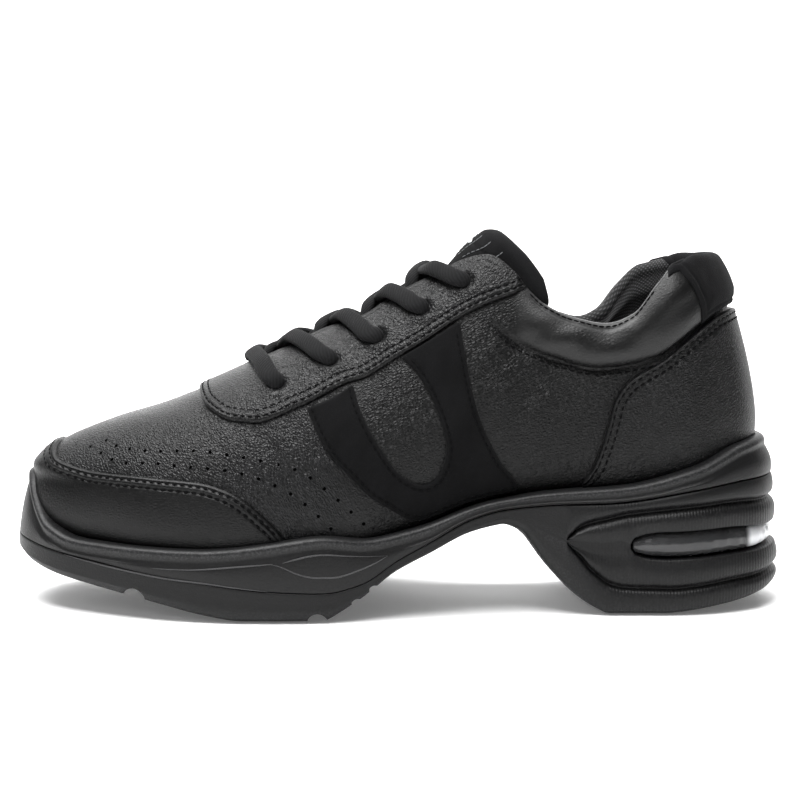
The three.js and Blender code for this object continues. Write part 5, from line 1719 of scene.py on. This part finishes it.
@dataclass
class Sole:
    """The moulded sole: outsole with ribbed heel, midsole cup, clear tube and insole."""

    finish: Finish
    rounding: int = 2
    ball_bars: tuple[float, ...] = (0.2, 0.248, 0.295, 0.34)
    heel_bars: tuple[float, ...] = (0.82, 0.88)
    ball_reach: float = 0.78
    heel_reach: float = 0.55
    notches: tuple[tuple[float, float], ...] = ((0.161, 1.2), (0.396, 1.0), (0.446, 0.55), (0.468, 0.55))
    heel_rim_drop: float = 1.3
    tube_start: float = 0.7985
    tube_painted_glow_x: float = 116.5
    tube_rib: float = 0.16
    tube_rib_pitch: float = 5.2
    line_radius: float = 0.3
    hatch_start: float = 60.0
    hatch_run: float = 8.0
    hatch_top: float = 38.0

    def build(self) -> None:
        """Makes every piece of the sole."""
        self.outsole()
        self.midsole()
        self.tube()
        self.insole()
        self.mould_lines()

    @staticmethod
    def _round(wall: Array, times: int) -> Array:
        """Cuts the corners of every station's wall, keeping its two ends.

        Args:
            wall: points, stations by rows by 3.
            times: how often the corners are cut.

        Returns:
            The smoother walls.
        """
        for _ in range(times):
            a, b = wall[:, :-1], wall[:, 1:]
            cut = np.stack([mix(a, b, 0.25), mix(a, b, 0.75)], axis=2).reshape(len(wall), -1, wall.shape[2])
            wall = np.concatenate([wall[:, :1], cut[:, 1:-1], wall[:, -1:]], axis=1)
        return wall

    def _wall(self, side: Side, share: Array, rows: list[tuple[Array, Array]]) -> Array:
        """Points of the sole's wall from rows of offsets and heights."""
        place, out = PLAN.at(side, share)
        offsets = [(np.broadcast_to(off, share.shape)[:, None], z) for off, z in rows]
        return np.stack([stand(place + out * off, z) for off, z in offsets], axis=1)

    def _ring(self, skin: Skin, walls: list[Array], values: list[Array]) -> None:
        """Adds both sides' walls and closes the top and the bottom between them.

        Args:
            skin: the mesh that takes them.
            walls: one wall for each side.
            values: how rubbed each is.
        """
        for wall, value in zip(walls, values):
            behind = smooth((wall[..., 0] - self.hatch_start) / self.hatch_run)
            skin.sheet(wall, value, behind * (wall[..., 2] < self.hatch_top))
        for row in (0, -1):
            ends = [wall[:, row] for wall in walls]
            strip = np.stack([mix(ends[0], ends[1], t) for t in np.linspace(0, 1, 13)], axis=1)
            skin.sheet(strip)

    @staticmethod
    def stations_along() -> Array:
        """Stations of the sole, closer where the heel's front face turns."""
        even = PLAN.even_shares(0, 1, 170)
        extra = np.linspace(0.63, 0.81, 60)
        leaf = np.linspace(0.712, 0.73, 24)
        return np.unique(np.round(np.concatenate([even, extra, leaf]), 5))

    def outsole_rows(self, share: Array) -> list[tuple[Array, Array]]:
        """Offsets and heights of the outsole's wall, from the tread up to the joint.

        Args:
            share: shares of the length.

        Returns:
            A pair for each row.
        """
        under, groove = underside_at(share), groove_at(share) - JOINT
        height = groove - under
        rib = {name: RIBS.at(name, share) for name in ("low", "slot_low", "slot_high", "high")}
        cut_in = RIBS.at("cut", share)
        cut, bulge = RIB_GROOVE * cut_in, RIB_BULGE * cut_in
        slot = SLOT_DEPTH * smooth(RIBS.at("slot", share))
        foot = np.minimum(TREAD_EDGE, height * 0.35)
        room = np.minimum(rib["slot_low"] - rib["low"], rib["high"] - rib["slot_high"]) * height
        half = np.minimum(np.minimum(RIB_HALF, height * 0.04), room * 0.4)
        rows = [(-TREAD_INSET, under), (-0.25 * TREAD_INSET, under + 0.25 * foot), (0.0, under + foot)]

        def level(t: Array) -> Array:
            """Height at a share of the wall."""
            return under + height * t

        def groove_rows(t: Array) -> list[tuple[Array, Array]]:
            """The four rows of one cut groove."""
            depths = ((0.0, -1), (-cut, -0.2), (-cut, 0.2), (0.0, 1))
            return [(depth, level(t) + half * step) for depth, step in depths]

        rows += groove_rows(rib["low"])
        rows.append((bulge, level((rib["low"] + rib["slot_low"]) / 2)))
        lip = np.minimum(0.35, room * 0.2)
        rows += [(0.0, level(rib["slot_low"]) - lip), (-slot * 0.08, level(rib["slot_low"]))]
        rows += [(-slot, level(rib["slot_low"]) + 0.1), (-slot, level(rib["slot_high"]) - 0.1)]
        rows += [(-slot * 0.08, level(rib["slot_high"])), (0.0, level(rib["slot_high"]) + lip)]
        rows.append((bulge, level((rib["slot_high"] + rib["high"]) / 2)))
        rows += groove_rows(rib["high"])
        rows.append((bulge * 0.6, mix(level(rib["high"]), groove, 0.55)))
        rows += [(0.0, groove - 0.4), (-0.7 * cut_in - 0.2, groove)]
        lean = HEEL_LEAN * heel_share(share)
        leaned = [(np.asarray(off) - lean * (z - under) / height, z) for off, z in rows]
        leaned.append((-TREAD_INSET, bed_at(share) - BED_DROP - GAP / 2))
        return leaned

    def outsole(self) -> None:
        """The outsole, with lug grooves and flex notches cut across its tread."""
        share = self.stations_along()
        skin = Skin()
        rows = self.outsole_rows(share)
        walls = [self._round(self._wall(side, share, rows), self.rounding) for side in Side]
        self._ring(skin, walls, [self._wear(wall) for wall in walls])
        obj = skin.build("outsole_rubber")
        self._cut_tread(obj)
        keep(obj, self.finish.rubber, "sole_rubber", "outsole")

    @staticmethod
    def _wear(wall: Array) -> Array:
        """How rubbed the wall is: most where it stands proud and near the floor.

        Args:
            wall: points, stations by rows by 3.

        Returns:
            Shares from 0 to 1.
        """
        out = np.linalg.norm(np.gradient(np.gradient(wall, axis=1), axis=1), axis=2)
        proud = np.clip(out * 1.2, 0, 0.7)
        floor = 0.5 * np.clip(1 - wall[..., 2] / 5, 0, 1)
        return np.clip(proud * 0.5 + floor, 0, 1)

    def _cut_tread(self, obj: bpy.types.Object) -> None:
        """Cuts the grooves and notches of the tread out of the outsole.

        Args:
            obj: the outsole.
        """
        work = bmesh.new()
        for share in self.ball_bars:
            self._box(work, to_x(share), float(underside_at(share)) + LUG_DEPTH, self.ball_reach)
        for share in self.heel_bars:
            self._box(work, to_x(share), LUG_DEPTH, self.heel_reach)
        for share, radius in self.notches:
            self._rod(work, to_x(share), float(underside_at(share)), NOTCH_RADIUS * radius)
        mesh = bpy.data.meshes.new("tread_cutter")
        work.to_mesh(mesh)
        work.free()
        cutter = placed("tread_cutter", mesh)
        modifier = obj.modifiers.new("tread", "BOOLEAN")
        modifier.operation = "DIFFERENCE"
        modifier.solver = "EXACT"
        modifier.object = cutter
        made = evaluated(obj)
        obj.modifiers.clear()
        obj.data = made
        bpy.data.objects.remove(cutter)

    @staticmethod
    def _box(work: bmesh.types.BMesh, x: float, top: float, reach: float) -> None:
        """A bar across the tread.

        Args:
            work: the mesh that takes it.
            x: its place along the shoe.
            top: the height of its upper face.
            reach: its length as a share of the sole's width.
        """
        bar = bmesh.ops.create_cube(work, size=1.0)["verts"]
        bmesh.ops.scale(work, vec=Vector((LUG_GROOVE, BALL_WIDTH * reach, 20)) * MM, verts=bar)
        bmesh.ops.translate(work, vec=Vector((x, 0, top - 10)) * MM, verts=bar)

    @staticmethod
    def _rod(work: bmesh.types.BMesh, x: float, z: float, radius: float) -> None:
        """A round bar across the tread.

        Args:
            work: the mesh that takes it.
            x: its place along the shoe.
            z: the height of its axis.
            radius: its radius.
        """
        sizes = {"radius1": radius * MM, "radius2": radius * MM, "depth": BALL_WIDTH * 1.3 * MM}
        rod = bmesh.ops.create_cone(work, cap_ends=True, segments=NOTCH_SIDES, **sizes)["verts"]
        across = Vector((0, 0, 1)).rotation_difference(Vector((0, 1, 0))).to_matrix()
        bmesh.ops.rotate(work, matrix=across, verts=rod)
        bmesh.ops.translate(work, vec=Vector((x, 0, z)) * MM, verts=rod)

    def midsole(self) -> None:
        """The cup round the upper, with its beaded rim and the bumper at the toe."""
        share = self.stations_along()
        groove = groove_at(share) + JOINT
        rim = rim_at(share) - self.heel_rim_drop * smooth((share - 0.6) / 0.1)
        heel = heel_share(share)
        toe = np.clip(1 - share / 0.05, 0, 1)
        top = RIM_LEAN * heel + BUMPER_LEAN * toe
        bead = np.minimum(BEAD, (rim - groove) * 0.3)
        rows = [
            (-0.7 * heel - 0.2, groove), (0.0, groove + 0.4), (0.5, mix(groove, rim - 2 * bead, 0.5)),
            (0.1, rim - 2.8 * bead), (-0.3, rim - 2.1 * bead), (0.05, rim - 1.5 * bead), (0.4, rim - bead),
            (0.1, rim - bead * 0.4), (-bead * 0.6, rim), (-bead * 1.2, rim),
        ]
        rise = np.maximum(1, rim - groove)
        leaned = [(off - HEEL_LEAN * heel - top * np.maximum(0, z - groove) / rise, z) for off, z in rows]
        leaned.insert(0, (-TREAD_INSET, bed_at(share) - BED_DROP + GAP / 2))
        skin = Skin()
        walls, values = [], []
        for side in Side:
            outer = self._round(self._wall(side, share, leaned), self.rounding)
            level = mix(rim[:, None], bed_at(share)[:, None], np.linspace(0, 1, 9))
            inner = Last.offset(side, share[:, None], Last.row_at(side, share[:, None], level), GAP)
            inner[..., 2] = level
            wall = np.concatenate([outer, inner], axis=1)
            worn = self._wear(wall)
            # The rim bead is coloured paler as a painted highlight, added to the wear.
            painted_rim_highlight = np.exp(-(((wall[..., 2] - (rim - bead * 0.9)[:, None]) / (bead[:, None] * 0.9)) ** 2))
            walls.append(wall)
            values.append(np.clip(worn * 0.4 + painted_rim_highlight * 0.75, 0, 1))
        self._ring(skin, walls, values)
        keep(skin.build("midsole_rubber"), self.finish.rubber, "sole_rubber", "midsole")

    def tube(self) -> None:
        """The clear tube round the back of the heel, with its moulded ribs."""
        share = PLAN.even_shares(self.tube_start, 1, 120)
        rings = []
        for side in Side:
            groove, under = groove_at(share) - GAP / 2, underside_at(share)
            low = mix(under, groove, RIBS.at("slot_low", share)) + TUBE_CLEARANCE
            high = mix(under, groove, RIBS.at("slot_high", share)) - TUBE_CLEARANCE
            middle, half = (low + high) / 2, (high - low) / 2
            lean = -HEEL_LEAN * heel_share(share) * (middle - under) / (groove - under)
            depth = (SLOT_DEPTH - TUBE_SET_BACK - TUBE_CLEARANCE) / 2
            place, out = PLAN.at(side, share)
            rib = self.tube_rib * np.cos(PLAN.arc(side, share) / self.tube_rib_pitch * 2 * math.pi)
            ring = []
            for turn in np.linspace(0, 2 * math.pi, 29):
                off = lean - TUBE_SET_BACK - depth + (depth + rib) * math.cos(turn)
                ring.append(stand(place + out * off[:, None], middle + half * math.sin(turn)))
            rings.append(np.stack(ring, axis=1)[:: -side.value])
        grid = np.concatenate([rings[0], rings[1][1:]])
        skin = Skin()
        # The tube's back end is coloured near white as painted light shining through it.
        skin.sheet(grid, smooth((grid[..., 0] - self.tube_painted_glow_x) / 2.5))
        skin.caps(grid)
        keep(skin.build("heel_tube_clear"), self.finish.clear, "clear_tube", "air_tube")

    def insole(self) -> None:
        """The padded foot bed."""
        share = PLAN.even_shares(0, 1, 150)
        skin = Skin()
        walls, values = [], []
        for side in Side:
            middle, reach, to = Last.spoke(side, share)
            inset = (LAST.at("inset", share) + LAST.at("tuck", share)) * BALL_WIDTH
            r, low = reach - inset - 2 * GAP, bed_at(share) + GAP
            rows = [(0, 0), (0, UPPER_WALL * 0.5), (0, INSOLE_THICKNESS - 0.7)]
            rows += [(0.9, INSOLE_THICKNESS), (4, INSOLE_THICKNESS)]
            wall = [stand(middle + to * (r - by)[:, None], low + up) for by, up in rows]
            walls.append(self._round(np.stack(wall, axis=1), 2))
            values.append(np.zeros(walls[-1].shape[:2]))
        self._ring(skin, walls, values)
        obj = keep(skin.build("insole_pad"), self.finish.insole, "mesh_fabric", "insole")

    def mould_lines(self) -> None:
        """Fine raised lines moulded in the side of the forefoot, coloured pale for wear and for a painted
        highlight.
        """
        skin = Skin()
        for side in Side:
            for line in MOULD_LINES:
                share, z = resample(np.array(line, float), 70).T
                place, out = PLAN.at(side, share)
                groove, rim = groove_at(share), rim_at(share)
                lift = 0.42 * np.sin(math.pi * np.clip((z - groove) / np.maximum(rim - groove, 1), 0, 1))
                centre = stand(place + out * (lift - 0.05)[:, None], z)
                taper = np.clip(np.sin(np.linspace(0.05, math.pi - 0.05, len(out))), 0.05, 1)
                thin = self.line_radius * np.sqrt(taper)[:, None]
                swings = [stand(out * math.cos(a), math.sin(a)) for a in np.linspace(0, 2 * math.pi, 9)]
                grid = np.stack([centre + swing * thin for swing in swings], axis=1)
                skin.sheet(grid)
                skin.caps(grid)
        keep(skin.build("mould_lines"), self.finish.line, "sole_rubber")


@dataclass
class Tongue:
    """The padded tongue, with a plain stitched patch at its top."""

    finish: Finish
    straight: float = 1.25
    wider: float = 0.13
    crown: float = 6.3
    channel: tuple[float, float, float] = (0.6, 0.598, 0.0022)
    patch_rows: tuple[float, float] = (0.581, 0.607)
    patch_half: float = 0.45
    patch_count: int = 7
    thread: tuple[float, float, float] = (1.6, 0.34, 0.3)

    def point(self, share: Array, across: Array, down: Array) -> Array:
        """Points of the tongue: an arch with straight wings.

        Args:
            share: shares of the length.
            across: -1 to 1, from side to side.
            down: depth below the outer face.

        Returns:
            Points in millimetres.
        """
        tilt, bend = TONGUE.at("tilt", share), TONGUE.at("bend", share) * BALL_WIDTH
        wide = TONGUE.at("width", share) + self.wider * smooth((share - 0.575) / 0.03)
        wide = wide * (1 - 0.2 * np.clip((share - 0.61) / 0.022, 0, 1) ** 2.5)
        turn = across * wide * BALL_WIDTH / bend
        arch = np.clip(turn, -self.straight, self.straight)
        wing = bend * (turn - arch)
        fall = bend * (1 - np.cos(arch)) + np.abs(wing) * math.sin(self.straight) + down * np.cos(arch)
        y = BALL_WIDTH * MIDDLE.at("y", share) + (bend - down) * np.sin(arch) + wing * math.cos(self.straight)
        arched = smooth((0.57 - share) / 0.03) * smooth((share - 0.33) / 0.06)
        crown = self.crown * arched * np.cos(across * math.pi / 2) ** 2
        z = bed_at(share) + INSTEP_HEIGHT * TONGUE.at("z", share) + crown
        lean = tilt - 0.12 * np.abs(turn - arch)
        return np.stack([to_x(share) - 1 + np.sin(lean) * fall, y, z + 0.8 - np.cos(lean) * fall], axis=-1)

    def build(self) -> None:
        """Makes the tongue and its patch."""
        share = np.concatenate([np.linspace(0.285, 0.56, 60, endpoint=False), np.linspace(0.56, 0.632, 70)])
        across = np.sin(np.linspace(-math.pi / 2, math.pi / 2, 81))
        s, c = np.meshgrid(share, across, indexing="ij")
        thick = TONGUE_THICKNESS + TONGUE_PAD * TONGUE.at("pad", s) * np.sqrt(1 - 0.7 * c**2)
        end = np.sqrt(np.clip(1 - np.clip((s - 0.612) / 0.02, 0, 1) ** 2, 0, 1))
        side_edge = np.sqrt(np.clip(1 - c**6, 0, 1))
        round_off = end * side_edge
        deep, place, width = self.channel
        seam = deep * np.exp(-(((s - place) / width) ** 2)) * (s < 0.62)
        top = self.point(s, c, thick * 0.5 * (1 - round_off) + seam)
        bottom = self.point(s, c, thick * 0.5 * (1 + round_off))
        skin = Skin()
        skin.wrap(bottom, top)
        obj = keep(skin.build("tongue_padded"), self.finish.tongue, "tongue_fabric", "tongue")
        self.patch()

    def patch(self) -> None:
        """Plain rows of thin grey stitches along the tongue's top."""
        over = np.linspace(*self.patch_rows, self.patch_count)
        across = np.linspace(-self.patch_half, self.patch_half, self.patch_count)
        rows, columns = np.meshgrid(over, across, indexing="ij")
        rows, columns = (rows + 0.004 * np.sin(columns * 40)).reshape(-1), columns.reshape(-1)
        level = np.zeros(rows.shape)
        points = self.point(rows, columns, level - 0.05)
        along = self.point(rows + 0.002, columns, level) - self.point(rows - 0.002, columns, level)
        out = self.point(rows, columns, level - 1) - self.point(rows, columns, level)
        stitches = Scatter(Dot.STITCH, self.finish.pale_thread)
        obj = stitches.run("tongue_stitches", SurfacePath(points, unit(along), unit(out)), self.thread)
        keep(obj, self.finish.pale_thread, "tongue_fabric")


@dataclass
class Laces:
    """The flat oval lace, in at each eyelet from above and under the other facing."""

    finish: Finish
    sides: int = 18
    count: int = 130
    edge_lead: float = 0.72
    middle_lead: float = 1.08
    landing_lead: float = 1.42
    fuller: float = 1.02
    upper_lift: float = 2.0
    lower_lift: float = 0.2
    bar_edge: float = 0.034
    bar_lead: float = 0.042
    bar_bow: float = 11.0
    bar_lift: float = 3.0

    def build(self) -> None:
        """Makes the lace's crossings."""
        for row in range(len(EYELETS.x)):
            skin = Skin()
            if row == 0:
                self.strand(skin, *self.bar())
            else:
                for side in Side:
                    self.strand(skin, *self.crossing(side, row))
            obj = skin.build(f"lace_crossing_{row + 1}")
            keep(obj, self.finish.cord, "lace_cord", f"lace_{row + 1}")

    @staticmethod
    def over(side: Side, share: float, edge: float) -> tuple[list[Array], list[Array], list[float]]:
        """From inside an eyelet up and over the facing to the edge of the throat.

        Args:
            side: the side of the foot.
            share: the eyelet's share of the length.
            edge: the share at which the strand passes over the throat's edge.

        Returns:
            Points, outward directions and widths.
        """
        row = float(eyelet_row(side, share))
        lift = GAP + OVERLAY + LACE_THICKNESS / 2
        at, out = Last.point(side, share, row), Last.normal(side, share, row)
        ahead = unit(Last.point(side, mix(share, edge, 0.25), mix(row, 1, 0.15)) - at)
        points = [at - out * 5 - ahead * 0.6, at - out * 1.2, at + out * 1.9 + ahead * 0.9]
        normals = [-ahead, -ahead * 0.8 + out * 0.3, out * 0.7 - ahead * 0.6]
        widths = [0.6, 0.68, 0.92]
        for t, climb, high in ((0.3, 0.16, 0.1), (0.62, 0.52, 0.35), (1.0, 1.0, 0.7)):
            s, v = mix(share, edge, t), mix(row, 1, climb)
            normal = Last.normal(side, s, min(v, 0.99))
            points.append(Last.point(side, s, v) + normal * (lift + high))
            normals.append(normal)
            widths.append(1.0)
        return points, normals, widths

    def bar(self) -> tuple[Array, Array, Array]:
        """The first bar, from eyelet to eyelet, bowed to the toe."""
        share = float(EYELETS.x[0])
        one, two = (self.over(side, share, share - self.bar_edge) for side in Side)
        height = float(ridge_at(share - self.bar_lead)) + self.bar_lift
        middle = np.array([to_x(share) - self.bar_bow, BALL_WIDTH * 0.035, height])
        up = np.array([-0.5, 0, 0.87])
        points = [*one[0], middle, *two[0][::-1]]
        normals = [*one[1], up, *two[1][::-1]]
        return np.array(points), np.array(normals), np.array([*one[2], 1.0, *two[2][::-1]])

    def crossing(self, side: Side, row: int) -> tuple[Array, Array, Array]:
        """One strand, from an eyelet over the throat and under the other facing.

        Args:
            side: the side of the foot.
            row: which eyelet, counted from the toe.

        Returns:
            Points, outward directions and widths.
        """
        share, before = float(EYELETS.x[row]), float(EYELETS.x[row - 1])
        edge, middle, landing = (
            mix(share, before, lead) for lead in (self.edge_lead, self.middle_lead, self.landing_lead)
        )
        points, normals, widths = self.over(side, share, edge)
        up = np.array([-0.45, 0, 0.89])
        raised = self.upper_lift if side is Side.MEDIAL else self.lower_lift
        y = BALL_WIDTH * float(MIDDLE.at("y", middle))
        centre = np.array([to_x(middle), y, float(ridge_at(middle)) + raised])
        rim = Last.point(side.other, landing, 1.0)
        inward = Last.normal(side.other, landing, 0.97)
        bridge = mix(centre, rim, 0.55) + up * (raised * 0.55)
        under = rim - inward * (UPPER_WALL + 1.4) + up * 0.4
        hidden = Last.point(side.other, landing + 0.008, 0.9) - inward * (UPPER_WALL + 2.2)
        points += [mix(points[-1], centre, 0.5) + up * 0.3, centre, bridge, under, hidden]
        normals += [up, up, up, up * 0.6 + inward * 0.4, inward]
        widths += [1.0, 1.0, 1.0, 0.85, 0.7]
        return np.array(points), np.array(normals), np.array(widths)

    def strand(self, skin: Skin, points: Array, normals: Array, widths: Array) -> None:
        """Sweeps the lace's section along a path.

        Args:
            skin: the mesh that takes it.
            points: the path's control points.
            normals: outward directions at them.
            widths: shares of the lace's full width at them.
        """
        data = resample(np.concatenate([points, normals, widths[:, None]], axis=1), self.count)
        path, normal, width = data[:, :3], data[:, 3:6], data[:, 6]
        ahead = unit(np.gradient(path, axis=0))
        across = unit(np.cross(ahead, normal))
        up = np.cross(across, ahead)
        ring = []
        for turn in np.linspace(-math.pi / 2, 1.5 * math.pi, self.sides + 1):
            c, s = math.cos(turn), math.sin(turn)
            x = math.copysign(abs(c) ** 0.85, c) * LACE_WIDTH / 2 * self.fuller
            y = math.copysign(abs(s) ** 0.9, s) * LACE_THICKNESS / 2 * self.fuller
            ring.append(path + across * (x * width)[:, None] + up * (y * (2 - width) ** 0.5)[:, None])
        grid = np.stack(ring, axis=1)
        skin.sheet(grid, running(path)[:, None], np.linspace(0, LACE_GIRTH, self.sides + 1)[None, :])
        skin.caps(grid)


@dataclass
class Studio:
    """Camera, pale floor and soft light."""

    distance: float = 0.650
    eye_height: float = 0.1337
    frame_width: float = 0.2820
    tilt: float = 0.7
    rise: float = -0.2
    sensor: float = 36.0
    world: float = 0.1

    def camera(self) -> None:
        """The photograph's view: level with the collar, square to the outer side."""
        data = bpy.data.cameras.new("photo_camera")
        data.sensor_width = self.sensor
        data.lens = self.sensor * self.distance / self.frame_width
        data.shift_y = self.rise
        cam = placed("photo_camera", data)
        cam.location = (0, -self.distance, self.eye_height)
        cam.rotation_euler = (math.radians(90 - self.tilt), 0, 0)
        bpy.context.scene.camera = cam

    def floor(self) -> None:
        """A pale floor that curves up behind the shoe."""
        profile = [(-2.5, 0.0), (1.2, 0.0)]
        bend = np.linspace(0.1, math.pi / 2, 12)
        profile += [(1.2 + 0.6 * math.sin(a), 0.6 - 0.6 * math.cos(a)) for a in bend]
        profile.append((1.8, 3.0))
        skin = Skin()
        skin.sheet(np.array([[(x, y, z) for x in (-3.5, 3.5)] for y, z in profile]) / MM)
        obj = skin.build("floor")
        shader = Shader("pale_floor")
        looks = {"Base_Color": (0.92, 0.92, 0.92, 1), "Roughness": 0.9}
        glow = {"Emission_Color": (1, 1, 1, 1), "Emission_Strength": 0.12}
        obj.data.materials.append(shader.dress(**looks, **glow))

    @staticmethod
    def lamp(name: str, place: tuple, size: tuple, watts: float, aim: tuple = (0, 0, 0.05)) -> None:
        """One soft box.

        Args:
            name: its name.
            place: where it hangs, in metres.
            size: its two sides, in metres.
            watts: its power.
            aim: the point it faces.
        """
        data = bpy.data.lights.new(name, "AREA")
        data.shape = "RECTANGLE"
        data.size, data.size_y = size
        data.energy = watts
        lamp = placed(name, data)
        lamp.location = place
        lamp.rotation_euler = (Vector(aim) - Vector(place)).to_track_quat("-Z", "Y").to_euler()

    def build(self) -> None:
        """Sets up the whole studio."""
        self.camera()
        self.floor()
        self.lamp("top_box", (-0.25, -0.3, 1.15), (1.1, 0.6), 28)
        self.lamp("front_box", (-0.5, -1.3, 0.9), (0.9, 0.5), 3)
        self.lamp("back_wash", (0, 0.4, 1.5), (2.4, 0.5), 66, (0, 1.8, 0.4))
        world = bpy.data.worlds.new("studio")
        world.use_nodes = True
        background = world.node_tree.nodes["Background"]
        background.inputs[0].default_value = (1, 1, 1, 1)
        background.inputs[1].default_value = self.world
        bpy.context.scene.world = world
        bpy.context.scene.view_settings.view_transform = "Standard"


def main() -> None:
    """Builds the studio and every piece in order."""
    logging.basicConfig(level=logging.INFO, format="%(message)s")
    Studio().build()
    finish = Finish()
    for piece in (Sole(finish), Upper(finish), Tongue(finish), Laces(finish)):
        LOG.info("building the %s", type(piece).__name__.lower())
        piece.build()


if __name__ == "__main__":
    main()
